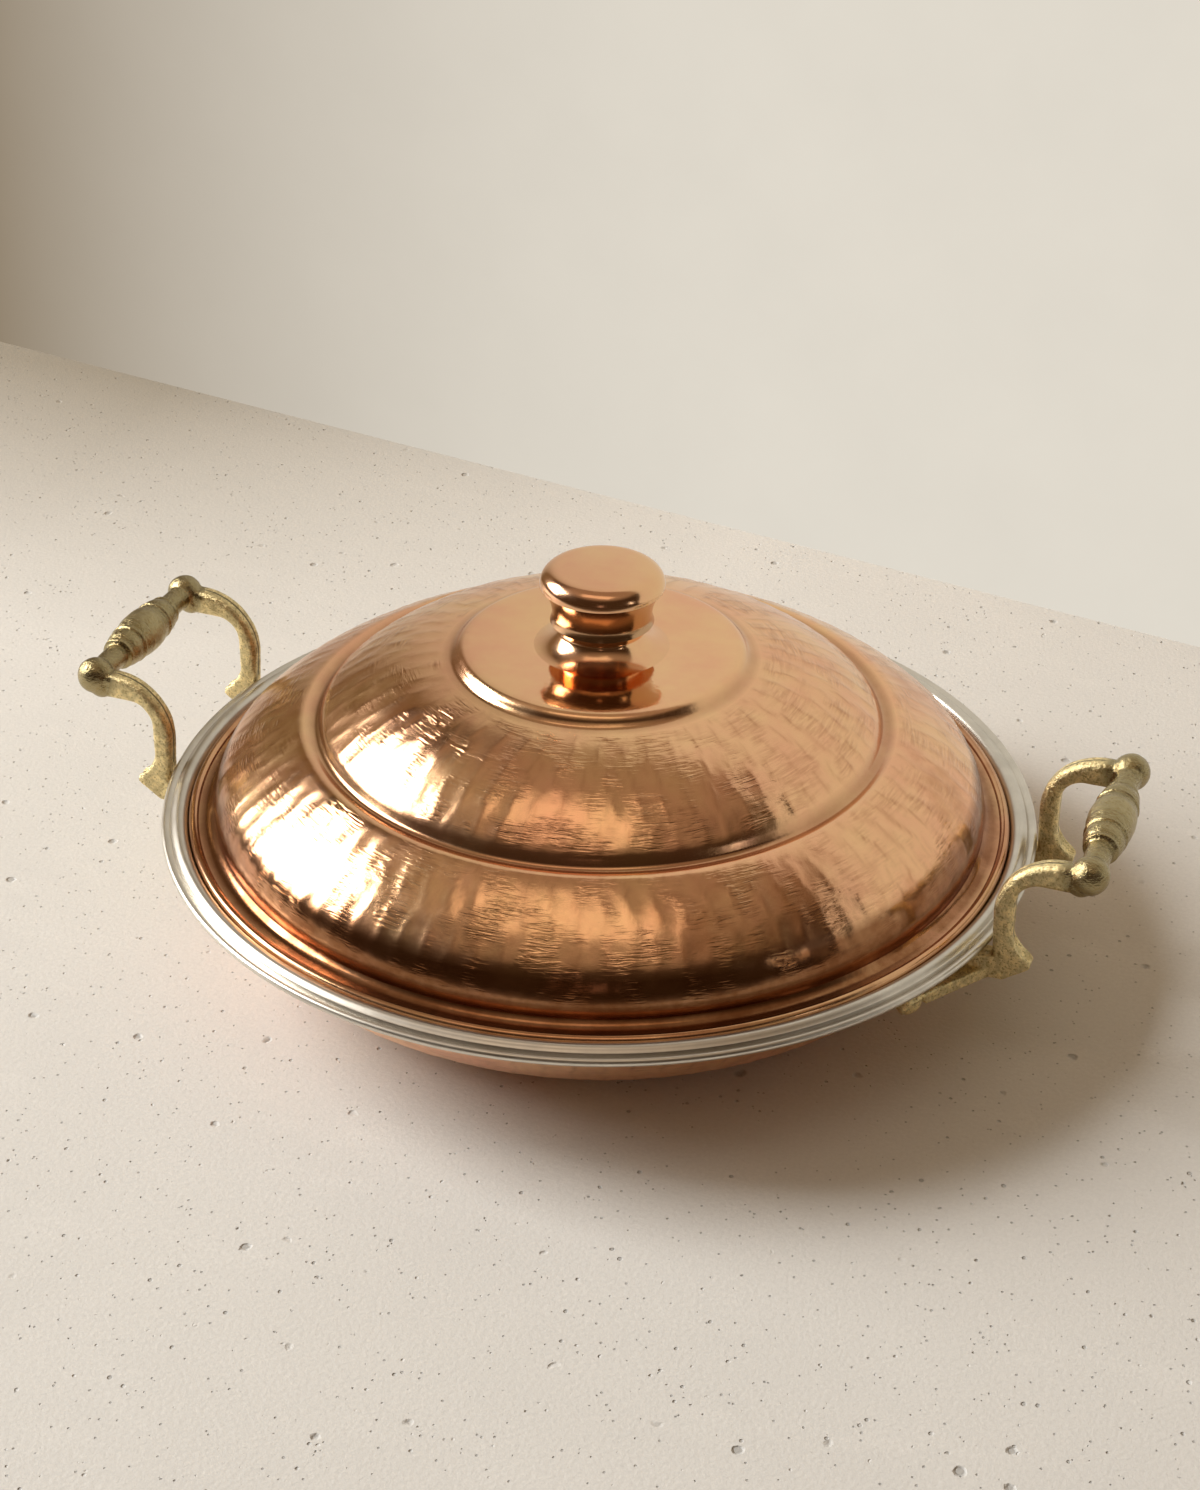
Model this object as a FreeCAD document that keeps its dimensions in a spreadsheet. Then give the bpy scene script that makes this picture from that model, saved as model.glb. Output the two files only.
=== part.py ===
"""Shallow two-handled copper pan with a stepped, domed lid and a mushroom knob.

The pan's axis is Z and it stands on the plane Z = 0. The handles lie on +X and -X.
"""
import FreeCAD, Part
import Sketcher
import math
import os

# Name, value (mm or degrees) and what it is. Everything else follows from these.
DRIVING = [
    ("rim_radius", 140.0, "outer radius of the pan's hem"),
    ("rim_width", 7.1, "from the outer face of the wall's top to the hem's outside"),
    ("pan_sheet", 1.2, "thickness of the pan's copper"),
    ("wall_curve", 66.6, "radius of the wall's arc, outside"),
    ("wall_angle", 67.6, "turn of the wall's arc from the flat base up to the roll"),
    ("roll_radius", 2.85, "outer radius of the rim's roll"),
    ("roll_join_angle", 2.5, "how far below the roll the wall's outside stops"),
    ("groove_angle", 12.0, "where the groove between roll and hem lies on the roll"),
    ("hem_radius", 1.25, "radius of the small outer hem"),
    ("hem_drop", 0.15, "from the roll's centre up to the hem's centre"),
    ("wire_gap", 0.05, "room round a wire that is rolled into an edge"),
    ("lid_sheet", 1.0, "thickness of the lid's copper"),
    ("lid_gap", 0.3, "room between the lid's bead and the pan's wall"),
    ("seat_angle", 66.8, "where the bead meets the wall's arc"),
    ("bead_radius", 1.6, "radius of the lid's rolled edge"),
    ("bead_seam_angle", 18.2, "where the flange meets the bead"),
    ("lid_wire", 0.6, "radius of the wire in the lid's bead"),
    ("cove_width", 3.4, "radial width of the flange's cove"),
    ("border_slope_angle", 72.0, "slope of the lid at the foot of the outer dome"),
    ("border_inset", 6.7, "from the bead's centre in to the foot of the outer dome"),
    ("border_rise", 2.3, "height of that foot over the bead's centre"),
    ("cove_curve", 4.2, "radius of the cove"),
    ("shoulder_slope_angle", 47.0, "slope of the lid at the outer dome's shoulder"),
    ("shoulder_inset", 4.4, "from the dome's foot in to its shoulder"),
    ("shoulder_rise", 13.4, "height of the shoulder over the foot"),
    ("lower_dome_curve", 18.6, "radius of the dome between foot and shoulder"),
    ("crown_slope_angle", 25.0, "slope of the lid at the crown"),
    ("crown_inset", 22.6, "from the shoulder in to the crown"),
    ("crown_rise", 15.8, "height of the crown over the shoulder"),
    ("upper_dome_curve", 79.0, "radius of the dome between shoulder and crown"),
    ("crown_curve", 4.7, "radius of the crown's turn down into the valley"),
    ("lip_slope_angle", 30.0, "slope of the valley's outer side, up to the crown"),
    ("valley_curve", 2.2, "radius of the valley round the inner dome"),
    ("kerb_slope_angle", 70.0, "slope of the lid at the inner dome's foot"),
    ("brow_curve", 8.2, "radius of the turn from the inner dome down to its foot"),
    ("brow_slope_angle", 42.0, "slope of the inner dome where that turn starts"),
    ("inner_dome_rise", 17.7, "height of the step's foot over that place"),
    ("inner_dome_curve", 70.0, "radius of the inner dome"),
    ("step_slope_angle", 6.7, "slope of the lid at the step's foot"),
    ("step_radius", 47.4, "radius of the step's foot"),
    ("step_foot_curve", 2.4, "radius of the hollow at the step's foot"),
    ("riser_slope_angle", 65.0, "slope of the step at its steepest"),
    ("step_curve", 3.2, "radius of the step's rounded edge"),
    ("foot_radius", 22.0, "radius of the knob foot's thin edge"),
    ("foot_edge", 0.5, "thickness of that edge"),
    ("neck_radius", 12.9, "radius of the knob's neck"),
    ("flare_rise", 4.6, "height of the flare from the edge to the neck"),
    ("flare_curve", 10.5, "radius of the flare"),
    ("knob_sheet", 1.1, "thickness of the knob's spun pieces"),
    ("knob_gap", 0.1, "room between the knob's nested pieces"),
    ("skirt_height", 9.0, "height of the knob body's lower edge over the disc"),
    ("skirt_radius", 16.2, "radius of the knob body's lower edge"),
    ("waist_radius", 15.5, "least radius of the knob body"),
    ("waist_rise", 2.4, "height of the waist over the skirt's lower edge"),
    ("waist_curve", 17.0, "radius of the waist's hollow"),
    ("body_height", 12.1, "height of the knob body"),
    ("cap_radius", 19.5, "radius of the knob's cap"),
    ("cap_overhang", 0.4, "how far the cap stands out past the knob body's top"),
    ("cap_side", 0.9, "height of the cap's straight side"),
    ("cap_round", 4.8, "radial width of the cap's rounded edge"),
    ("cap_round_rise", 4.7, "height of the cap's rounded edge"),
    ("cap_round_curve", 5.5, "radius of the cap's rounded edge"),
    ("cap_crown", 0.5, "how far the cap's top is crowned"),
    ("core_radius", 7.0, "radius of the knob's core"),
    ("core_flange_height", 0.8, "thickness of the core's flange under the cap"),
    ("screw_radius", 2.5, "radius of the screw's shank"),
    ("screw_gap", 0.2, "room round the shank in lid and washer"),
    ("thread_gap", 0.03, "room round the shank in the core"),
    ("screw_reach", 14.0, "how far the screw goes into the core"),
    ("screw_head", 4.7, "radius of the screw's head"),
    ("screw_head_height", 2.6, "height of the screw's head"),
    ("slot_width", 1.2, "width of the screw's slot"),
    ("slot_depth", 1.2, "depth of the screw's slot"),
    ("washer_radius", 9.0, "radius of the washer"),
    ("washer_height", 1.2, "thickness of the washer"),
    ("grip_rise", 29.2, "height of the grip's axis over the hem"),
    ("grip_out", 26.0, "from a leg's inner face out to the grip's axis"),
    ("leg_spread", 31.2, "from the handle's middle to a leg's middle"),
    ("leg_width", 6.8, "width of a leg along the grip"),
    ("leg_round", 2.1, "rounding of a leg's long edges"),
    ("leg_inset", 2.6, "from the hem's outside in to a leg's inner face"),
    ("leg_setback", 0.9, "how far a leg leans in by the start of its bend"),
    ("leg_thick", 6.3, "thickness of a leg away from the pan"),
    ("leg_straight", 11.6, "height of the start of a leg's bend over the hem"),
    ("bend_inner", 7.5, "radius of the hollow side of a leg's bend"),
    ("arm_top", 2.4, "from the grip's axis up to the arm's top face"),
    ("arm_under", 6.0, "from the grip's axis down to the arm's underside"),
    ("foot_top", 5.2, "height over the hem where a leg starts to flare"),
    ("foot_curve", 7.0, "radius of the foot's flare"),
    ("foot_slope_angle", 45.0, "slope of the foot's outer face below the flare"),
    ("foot_out", 11.7, "from a leg's inner face out to the foot's outer corner"),
    ("foot_drop", 4.2, "depth of the foot's outer corner under the hem"),
    ("foot_corner", 1.8, "height of the foot's blunt outer corner"),
    ("foot_depth", 11.4, "depth of the foot's lowest point under the hem"),
    ("foot_base", 4.0, "from a leg's inner face out to the foot's lowest point"),
    ("foot_root", 14.0, "from a leg's inner face in to the foot's root behind the wall"),
    ("knuckle_radius", 5.9, "radius of the ball at each end of the grip"),
    ("lobe_radius", 4.6, "radius of the lobe under each ball"),
    ("lobe_inset", 2.3, "how far the lobe sits in from the grip's axis"),
    ("lobe_drop", 2.6, "how far the lobe sits below the grip's axis"),
    ("neck_grip", 4.0, "radius of the grip's necks"),
    ("neck_end", 16.8, "from the grip's middle to the inner end of a neck"),
    ("end_ring", 5.5, "radius of the grip's end rings"),
    ("end_ring_width", 1.3, "width of an end ring"),
    ("swell_foot", 5.0, "radius where a swelling meets its end ring"),
    ("swell_top", 6.0, "radius where a swelling meets the ring beside the barrel"),
    ("swell_curve", 8.0, "radius of a swelling's outline"),
    ("ring_radius", 6.9, "radius of the rings beside the barrel"),
    ("ring_width", 0.9, "width of those rings"),
    ("ring_place", 9.1, "from the grip's middle to the outer side of a ring"),
    ("barrel_radius", 7.4, "largest radius of the grip's barrel"),
    ("barrel_end", 6.2, "radius of the barrel's ends"),
    ("plate_gap", 0.1, "room between the casting and the pan"),
    ("plate_thick", 3.0, "thickness of the plate between the legs"),
    ("plate_top_angle", 62.5, "upper edge of the plate, on the wall's arc"),
    ("plate_bottom_angle", 52.5, "lower edge of the plate, on the wall's arc"),
    ("plate_spread_angle", 34.0, "turn of the plate round the pan"),
    ("tail_drop", 8.2, "depth of a tail's upper face under the hem"),
    ("tail_height", 4.2, "height of a tail"),
    ("tail_root", 3.4, "from a leg's inner face out to the tail's root"),
    ("tail_inset", 7.0, "from the hem's outside in to a tail's tip"),
    ("tail_tip_angle", 26.4, "from the handle's middle to a tail's tip, round the pan"),
    ("tail_depth", 14.0, "from a tail's tip in to its root behind the wall"),
    ("lug_radius", 4.2, "radius of the lug at a tail's end"),
    ("lug_height", 5.2, "height of that lug off the wall"),
    ("rivet_level_angle", 57.5, "where the rivets lie on the wall's arc"),
    ("rivet_azimuth_angle", 25.0, "from the handle's middle to an outer rivet, round the pan"),
    ("rivet_radius", 2.0, "radius of a rivet's shank"),
    ("rivet_gap", 0.05, "room round a rivet's shank"),
    ("drill_depth", 9.0, "how far a rivet's hole runs to each side of the wall"),
    ("rivet_head", 3.4, "radius of a rivet's heads"),
    ("rivet_head_height", 1.3, "height of a rivet's heads"),
    ("rivet_seat", 0.1, "room under a rivet's head for the wall's curve"),
    ("head_room", 0.4, "room round a rivet's head where a tail is cut back for it"),
    ("head_cut", 5.0, "how high a tail is cut back over the lug"),
]

doc = FreeCAD.newDocument("copper_pan")
sheet = doc.addObject("Spreadsheet::Sheet", "Sizes")


class Size:
    """A size with its number and the formula on the sheet that gives the same number."""

    def __init__(self, value, formula):
        self.value = float(value)
        self.formula = formula

    def join(self, other, sign, value):
        return Size(value, f"({self.formula} {sign} {as_size(other).formula})")

    def __add__(self, other):
        return self.join(other, "+", self.value + as_size(other).value)

    def __sub__(self, other):
        return self.join(other, "-", self.value - as_size(other).value)

    def __mul__(self, other):
        return self.join(other, "*", self.value * as_size(other).value)

    def __truediv__(self, other):
        return self.join(other, "/", self.value / as_size(other).value)

    def __neg__(self):
        return Size(-self.value, f"(0 - {self.formula})")


def as_size(thing):
    return thing if isinstance(thing, Size) else Size(thing, repr(float(thing)))


def sine(angle):
    return Size(math.sin(math.radians(angle.value)), f"sin({angle.formula})")


def cosine(angle):
    return Size(math.cos(math.radians(angle.value)), f"cos({angle.formula})")


class Sizes:
    """The driving sizes, written to the sheet and read here by name."""

    def __init__(self, rows):
        for row, (name, value, remark) in enumerate(rows, start=1):
            sheet.set(f"A{row}", name)
            sheet.set(f"B{row}", str(value))
            sheet.set(f"C{row}", remark)
            sheet.setAlias(f"B{row}", name)
            setattr(self, name, Size(value, f"Sizes.{name}"))


s = Sizes(DRIVING)
doc.recompute()


# Places on the pan that several pieces share. A place is a radius and a height.

base_radius = s.rim_radius - s.rim_width - s.wall_curve * sine(s.wall_angle)
inner_curve = s.wall_curve - s.pan_sheet


def on_arc(curve, angle):
    """The place at an angle up the wall, on an arc about the wall's centre."""
    return base_radius + curve * sine(angle), s.wall_curve - curve * cosine(angle)


roll_at = on_arc(inner_curve + s.roll_radius, s.wall_angle)
hem_at = (s.rim_radius - s.hem_radius, roll_at[1] + s.hem_drop)
bead_at = on_arc(inner_curve - s.lid_gap - s.bead_radius, s.seat_angle)
leg_stand = s.rim_radius - s.leg_inset
grip_reach = leg_stand + s.grip_out
grip_height = hem_at[1] + s.grip_rise


def turned_up(place, curve, slope, next_slope, bend=1):
    """The next place in along the lid, on an arc that starts and ends at these slopes.

    A bend of 1 is a hollow arc, which steepens inwards, and -1 is a rounded one.
    """
    inset = (sine(next_slope) - sine(slope)) * curve * bend
    rise = (cosine(slope) - cosine(next_slope)) * curve * bend
    return place[0] - inset, place[1] + rise


# Places down the lid's upper surface, from the bead in to the middle.
flange_half = s.bead_radius * sine(s.bead_seam_angle)
seam_radius = bead_at[0] - s.bead_radius * cosine(s.bead_seam_angle)
border_at = (bead_at[0] - s.border_inset, bead_at[1] + s.border_rise)
shoulder_at = (border_at[0] - s.shoulder_inset, border_at[1] + s.shoulder_rise)
crown_at = (shoulder_at[0] - s.crown_inset, shoulder_at[1] + s.crown_rise)
lip_at = turned_up(crown_at, s.crown_curve, s.crown_slope_angle, -s.lip_slope_angle, -1)
kerb_at = turned_up(lip_at, s.valley_curve, -s.lip_slope_angle, s.kerb_slope_angle)
brow_at = turned_up(kerb_at, s.brow_curve, s.kerb_slope_angle, s.brow_slope_angle, -1)
step_at = (s.step_radius, brow_at[1] + s.inner_dome_rise)
riser_at = turned_up(step_at, s.step_foot_curve, s.step_slope_angle, s.riser_slope_angle)
disc_at = turned_up(riser_at, s.step_curve, s.riser_slope_angle, as_size(0), -1)
disc_height = disc_at[1]


def dome_radius(half_width, height):
    """The radius of a ball's cap of this half width and height."""
    return (half_width * half_width + height * height) / (height * 2)


def new_body(label):
    body = doc.addObject("PartDesign::Body", label)
    body.Label = label
    return body


def origin_plane(body, role):
    return next(f for f in body.Origin.OriginFeatures if f.Role == role)


def new_sketch(body, name, role="XZ_Plane", lift=None):
    """A sketch on one of the body's own origin planes, lifted off it along its normal."""
    sketch = body.newObject("Sketcher::SketchObject", name)
    sketch.AttachmentSupport = [(origin_plane(body, role), "")]
    sketch.MapMode = "FlatFace"
    if lift is not None:
        sketch.setExpression("AttachmentOffset.Base.z", lift.formula)
    return sketch


def bind(sketch, constraint, size):
    index = sketch.addConstraint(constraint)
    sketch.setExpression(f"Constraints[{index}]", size.formula)


def arc_through(start, end, radius, turns_left):
    """The short arc from start to end, turning left or right as it goes."""
    chord = end - start
    across = FreeCAD.Vector(-chord.y, chord.x, 0).normalize()
    reach = math.sqrt(max(radius**2 - (chord.Length / 2)**2, 0.0))
    side = 1 if turns_left else -1
    centre = (start + end) / 2 + across * (reach * side)
    first = math.atan2(start.y - centre.y, start.x - centre.x)
    last = math.atan2(end.y - centre.y, end.x - centre.x)
    if not turns_left:
        first, last = last, first
    circle = Part.Circle(centre, FreeCAD.Vector(0, 0, 1), radius)
    return Part.ArcOfCircle(circle, first, last)


def draw_loop(sketch, start, steps):
    """A closed outline from start through steps, each bound to the sheet.

    A step is (place,) for a line, or (place, radius, "left" or "right") for an arc
    that turns that way as the outline is followed. The last step returns to start.
    """
    def flat(place):
        return FreeCAD.Vector(as_size(place[0]).value, as_size(place[1]).value, 0)

    def pin(index, end, place):
        for axis, size in zip(("DistanceX", "DistanceY"), place):
            bind(sketch, Sketcher.Constraint(axis, -1, 1, index, end, as_size(size).value),
                 as_size(size))

    here = start
    first_index = None
    previous = None
    for step in steps:
        place = step[0]
        if len(step) == 1:
            index = sketch.addGeometry(Part.LineSegment(flat(here), flat(place)), False)
            ends = (1, 2)
        else:
            left = step[2] == "left"
            index = sketch.addGeometry(arc_through(flat(here), flat(place), step[1].value, left))
            ends = (1, 2) if left else (2, 1)
        if previous is None:
            first_index = (index, ends[0])
            pin(index, ends[0], start)
        else:
            sketch.addConstraint(Sketcher.Constraint("Coincident", *previous, index, ends[0]))
        if place is start:
            sketch.addConstraint(Sketcher.Constraint("Coincident", index, ends[1], *first_index))
        else:
            pin(index, ends[1], place)
        if len(step) > 1:
            bind(sketch, Sketcher.Constraint("Radius", index, step[1].value), step[1])
        previous = (index, ends[1])
        here = place


def revolve(body, sketch, name, kind="PartDesign::Revolution", axis="V_Axis", angle=None):
    feature = body.newObject(kind, name)
    feature.Profile = sketch
    feature.ReferenceAxis = (sketch, [axis])
    feature.Angle = 360
    if angle is not None:
        feature.setExpression("Angle", angle.formula)
        feature.Midplane = True
    return feature


def turned_body(label, start, steps):
    """A body that is one outline turned a full round about Z."""
    body = new_body(label)
    sketch = new_sketch(body, f"{label}_section")
    draw_loop(sketch, start, steps)
    revolve(body, sketch, f"{label}_turn")
    return body


def new_ring(label, place, radius):
    ring = doc.addObject("Part::Torus", label)
    ring.Label = label
    ring.setExpression("Radius1", place[0].formula)
    ring.setExpression("Radius2", radius.formula)
    ring.setExpression("Placement.Base.z", place[1].formula)
    return ring


def groove_circle(body, place, radius, name):
    """Cut a ring-shaped hollow of round section, as a rolled edge has round its wire."""
    sketch = new_sketch(body, f"{name}_section")
    centre = FreeCAD.Vector(place[0].value, place[1].value, 0)
    index = sketch.addGeometry(Part.Circle(centre, FreeCAD.Vector(0, 0, 1), radius.value))
    bind(sketch, Sketcher.Constraint("DistanceX", -1, 1, index, 3, place[0].value), place[0])
    bind(sketch, Sketcher.Constraint("DistanceY", -1, 1, index, 3, place[1].value), place[1])
    bind(sketch, Sketcher.Constraint("Radius", index, radius.value), radius)
    revolve(body, sketch, name, "PartDesign::Groove")


def rivet_axis(azimuth):
    """The rotation that turns Z to the wall's outward normal at a rivet."""
    tilt = FreeCAD.Rotation(FreeCAD.Vector(0, 1, 0), 180 - s.rivet_level_angle.value)
    return FreeCAD.Rotation(FreeCAD.Vector(0, 0, 1), azimuth) * tilt


def rivet_placement(azimuth):
    """Where a rivet's axis leaves the wall's outer face, at an azimuth round the pan."""
    radius, height = (size.value for size in on_arc(s.wall_curve, s.rivet_level_angle))
    turn = FreeCAD.Rotation(FreeCAD.Vector(0, 0, 1), azimuth)
    place = turn.multVec(FreeCAD.Vector(radius, 0, height))
    return FreeCAD.Placement(place, rivet_axis(azimuth))


RIVETS = [(f"{side}_{name}_rivet", middle + turn * s.rivet_azimuth_angle.value)
          for side, middle in (("right", 0), ("left", 180))
          for name, turn in (("front", -1 if side == "right" else 1), ("middle", 0),
                             ("rear", 1 if side == "right" else -1))]


def drill_rivets(body, azimuths):
    """Holes for the rivets, each along the wall's normal."""
    for number, azimuth in enumerate(azimuths, start=1):
        drill = body.newObject("PartDesign::SubtractiveCylinder", f"{body.Name}_drill_{number}")
        drill.setExpression("Radius", (s.rivet_radius + s.rivet_gap).formula)
        drill.setExpression("Height", (s.drill_depth * 2).formula)
        deep = FreeCAD.Placement(FreeCAD.Vector(0, 0, -s.drill_depth.value), FreeCAD.Rotation())
        drill.Placement = rivet_placement(azimuth).multiply(deep)


def make_pan_body():
    """The bowl: flat base, one arc of wall, the roll over the wire, the groove and the hem."""
    wall_top_inside = on_arc(inner_curve, s.wall_angle)
    wall_top_outside = on_arc(s.wall_curve, s.wall_angle - s.roll_join_angle)
    groove_at = (roll_at[0] + s.roll_radius * cosine(s.groove_angle),
                 roll_at[1] + s.roll_radius * sine(s.groove_angle))
    start = (as_size(0), as_size(0))
    body = turned_body("pan_body", start, [
        ((base_radius, as_size(0)),),
        (wall_top_outside, s.wall_curve, "left"),
        ((roll_at[0], roll_at[1] - s.roll_radius),),
        ((hem_at[0], hem_at[1] - s.hem_radius),),
        ((hem_at[0] + s.hem_radius, hem_at[1]), s.hem_radius, "left"),
        ((hem_at[0], hem_at[1] + s.hem_radius), s.hem_radius, "left"),
        (groove_at,),
        ((roll_at[0], roll_at[1] + s.roll_radius), s.roll_radius, "left"),
        (wall_top_inside, s.roll_radius, "left"),
        ((base_radius, s.pan_sheet), inner_curve, "right"),
        ((as_size(0), s.pan_sheet),),
        (start,),
    ])
    groove_circle(body, roll_at, s.roll_radius - s.pan_sheet, "rim_hollow")
    drill_rivets(body, [azimuth for _, azimuth in RIVETS])
    return body


def make_rivet(label, azimuth):
    """A rivet: a shank with a domed head outside the casting and one inside the pan."""
    grip = s.plate_thick if "middle" in label else s.lug_height
    outer = s.plate_gap + grip + s.rivet_seat
    inner = -(s.pan_sheet + s.rivet_seat)
    dome_curve = dome_radius(s.rivet_head, s.rivet_head_height)
    start = (as_size(0), inner - s.rivet_head_height)
    body = turned_body(label, start, [
        ((s.rivet_head, inner), dome_curve, "left"),
        ((s.rivet_radius, inner),),
        ((s.rivet_radius, outer),),
        ((s.rivet_head, outer),),
        ((as_size(0), outer + s.rivet_head_height), dome_curve, "left"),
        (start,),
    ])
    body.Placement = rivet_placement(azimuth)
    return body


def leg_outline(body, name, lift):
    """A leg seen from the side: foot, upright, bend and arm as far as the knuckle."""
    sketch = new_sketch(body, name, "XZ_Plane", lift)
    hem = hem_at[1]
    lean_face = leg_stand - s.leg_setback
    bend_start = hem + s.leg_straight
    top = grip_height + s.arm_top
    under = grip_height - s.arm_under
    outer_face = lean_face + s.leg_thick
    flare_end = (outer_face + s.foot_curve * (as_size(1) - cosine(s.foot_slope_angle)),
                 hem + s.foot_top - s.foot_curve * sine(s.foot_slope_angle))
    root = leg_stand - s.foot_root
    foot_reach = leg_stand + s.foot_out
    start = (leg_stand, hem - s.foot_drop)
    draw_loop(sketch, start, [
        ((root, hem - s.foot_drop),),
        ((root, hem - s.foot_depth),),
        ((leg_stand + s.foot_base, hem - s.foot_depth),),
        ((foot_reach, hem - s.foot_drop - s.foot_corner),),
        ((foot_reach, hem - s.foot_drop),),
        (flare_end,),
        ((outer_face, hem + s.foot_top), s.foot_curve, "right"),
        ((outer_face, under - s.bend_inner),),
        ((outer_face + s.bend_inner, under), s.bend_inner, "right"),
        ((grip_reach, under),),
        ((grip_reach, top),),
        ((lean_face + (top - bend_start), top),),
        ((lean_face, bend_start), top - bend_start, "left"),
        (start,),
    ])
    return sketch


def add_ball(body, name, radius, x, y, z):
    ball = body.newObject("PartDesign::AdditiveSphere", name)
    ball.setExpression("Radius", radius.formula)
    ball.setExpression("Placement.Base.x", x.formula)
    ball.setExpression("Placement.Base.y", y.formula)
    ball.setExpression("Placement.Base.z", z.formula)


def grip_outline(body):
    """The grip's long section: necks, end rings, two swellings and a barrel between rings."""
    sketch = new_sketch(body, f"{body.Name}_grip_section", "XY_Plane", grip_height)
    axis = grip_reach
    barrel_half = s.ring_place - s.ring_width
    barrel_curve = dome_radius(barrel_half, s.barrel_radius - s.barrel_end)
    half = [
        (axis + s.neck_grip, s.leg_spread),
        (axis + s.neck_grip, s.neck_end),
        (axis + s.end_ring, s.neck_end - s.end_ring_width / 4),
        (axis + s.end_ring, s.neck_end - s.end_ring_width),
        (axis + s.swell_foot, s.neck_end - s.end_ring_width),
        (axis + s.swell_top, s.ring_place, s.swell_curve),
        (axis + s.ring_radius, s.ring_place - s.ring_width / 4),
        (axis + s.ring_radius, s.ring_place - s.ring_width * 0.75),
        (axis + s.barrel_end, barrel_half),
    ]
    start = (axis, s.leg_spread)
    steps = [(place[:2], place[2], "right") if len(place) == 3 else (place,) for place in half]
    steps.append(((axis + s.barrel_end, -barrel_half), barrel_curve, "right"))
    curve = None
    for place in reversed(half[:-1]):
        across = (place[0], -place[1])
        steps.append((across, curve, "right") if curve else (across,))
        curve = place[2] if len(place) == 3 else None
    steps.append(((axis, -s.leg_spread),))
    steps.append((start,))
    draw_loop(sketch, start, steps)
    return sketch


def add_tail(body, end):
    """A straight tail from a leg's foot to the lug, level on top, its inner side on the wall."""
    side = "front" if end < 0 else "rear"
    sketch = new_sketch(body, f"{body.Name}_{side}_tail_plan", "XY_Plane",
                        hem_at[1] - s.tail_drop - s.tail_height)
    inner = s.leg_spread - s.leg_width / 2
    tip = s.rim_radius - s.tail_inset
    behind = tip - s.tail_depth
    along, across = cosine(s.tail_tip_angle), sine(s.tail_tip_angle) * end
    start = (leg_stand + s.tail_root, inner * end)
    draw_loop(sketch, start, [
        ((tip * along, tip * across),),
        ((behind * along, behind * across),),
        ((leg_stand - s.foot_root, inner * end),),
        (start,),
    ])
    tail = body.newObject("PartDesign::Pad", f"{body.Name}_{side}_tail")
    tail.Profile = sketch
    tail.setExpression("Length", s.tail_height.formula)


def add_plate(body, name):
    """The plate on the pan's wall between the legs, turned through part of a round."""
    sketch = new_sketch(body, f"{name}_section")
    inner = s.wall_curve + s.plate_gap
    outer = inner + s.plate_thick
    start = on_arc(inner, s.plate_bottom_angle)
    draw_loop(sketch, start, [
        (on_arc(outer, s.plate_bottom_angle),),
        (on_arc(outer, s.plate_top_angle), outer, "left"),
        (on_arc(inner, s.plate_top_angle),),
        (start, inner, "right"),
    ])
    revolve(body, sketch, name, angle=s.plate_spread_angle)


def clear_the_pan(body):
    """Cut away whatever of the casting would reach into the pan's wall, roll or hem."""
    sketch = new_sketch(body, f"{body.Name}_clearance")
    curve = s.wall_curve + s.plate_gap
    below_roll = roll_at[1] - s.roll_radius - s.plate_gap
    hem_side = s.rim_radius + s.plate_gap
    hem_under = hem_at[1] - s.hem_radius - s.plate_gap
    hem_over = hem_at[1] + s.hem_radius + s.plate_gap
    roll_side = roll_at[0] + s.roll_radius
    start = (base_radius, -s.plate_gap)
    draw_loop(sketch, start, [
        (on_arc(curve, s.wall_angle - s.roll_join_angle), curve, "left"),
        ((roll_at[0], below_roll),),
        ((hem_at[0], hem_under),),
        ((hem_side, hem_at[1]),),
        ((hem_at[0], hem_over),),
        ((roll_side, hem_over + s.roll_radius),),
        ((base_radius, hem_over + s.roll_radius),),
        (start,),
    ])
    revolve(body, sketch, f"{body.Name}_wall_clearance", "PartDesign::Groove")


def make_handle(label, turn):
    """One casting: grip, knuckles with their lobes, legs, feet, the plate and two tails."""
    body = new_body(label)
    leg = body.newObject("PartDesign::Pad", f"{label}_leg")
    leg.Profile = leg_outline(body, f"{label}_leg_side", s.leg_spread)
    leg.setExpression("Length", s.leg_width.formula)
    leg.Midplane = True
    doc.recompute()
    rounding = body.newObject("PartDesign::Fillet", f"{label}_leg_rounding")
    rounding.Base = (leg, long_edges(leg.Shape))
    rounding.setExpression("Radius", s.leg_round.formula)
    both = body.newObject("PartDesign::Mirrored", f"{label}_legs")
    both.Originals = [leg, rounding]
    both.MirrorPlane = (origin_plane(body, "XZ_Plane"), [""])
    body.Tip = both
    revolve_grip(body)
    for end, name in ((1, "front"), (-1, "rear")):
        y = s.leg_spread * end
        add_ball(body, f"{label}_{name}_ball", s.knuckle_radius, grip_reach, y, grip_height)
        add_ball(body, f"{label}_{name}_lobe", s.lobe_radius, grip_reach - s.lobe_inset, y,
                 grip_height - s.lobe_drop)
    add_plate(body, f"{label}_plate")
    for end in (-1, 1):
        add_tail(body, end)
        add_lug(body, f"{label}_lug_{end + 2}", end * s.rivet_azimuth_angle.value)
        face_lug(body, f"{label}_lug_face_{end + 2}", end * s.rivet_azimuth_angle.value)
    clear_the_pan(body)
    drill_rivets(body, [end * s.rivet_azimuth_angle.value for end in (-1, 0, 1)])
    body.Placement = FreeCAD.Placement(FreeCAD.Vector(),
                                       FreeCAD.Rotation(FreeCAD.Vector(0, 0, 1), turn))
    return body


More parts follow.
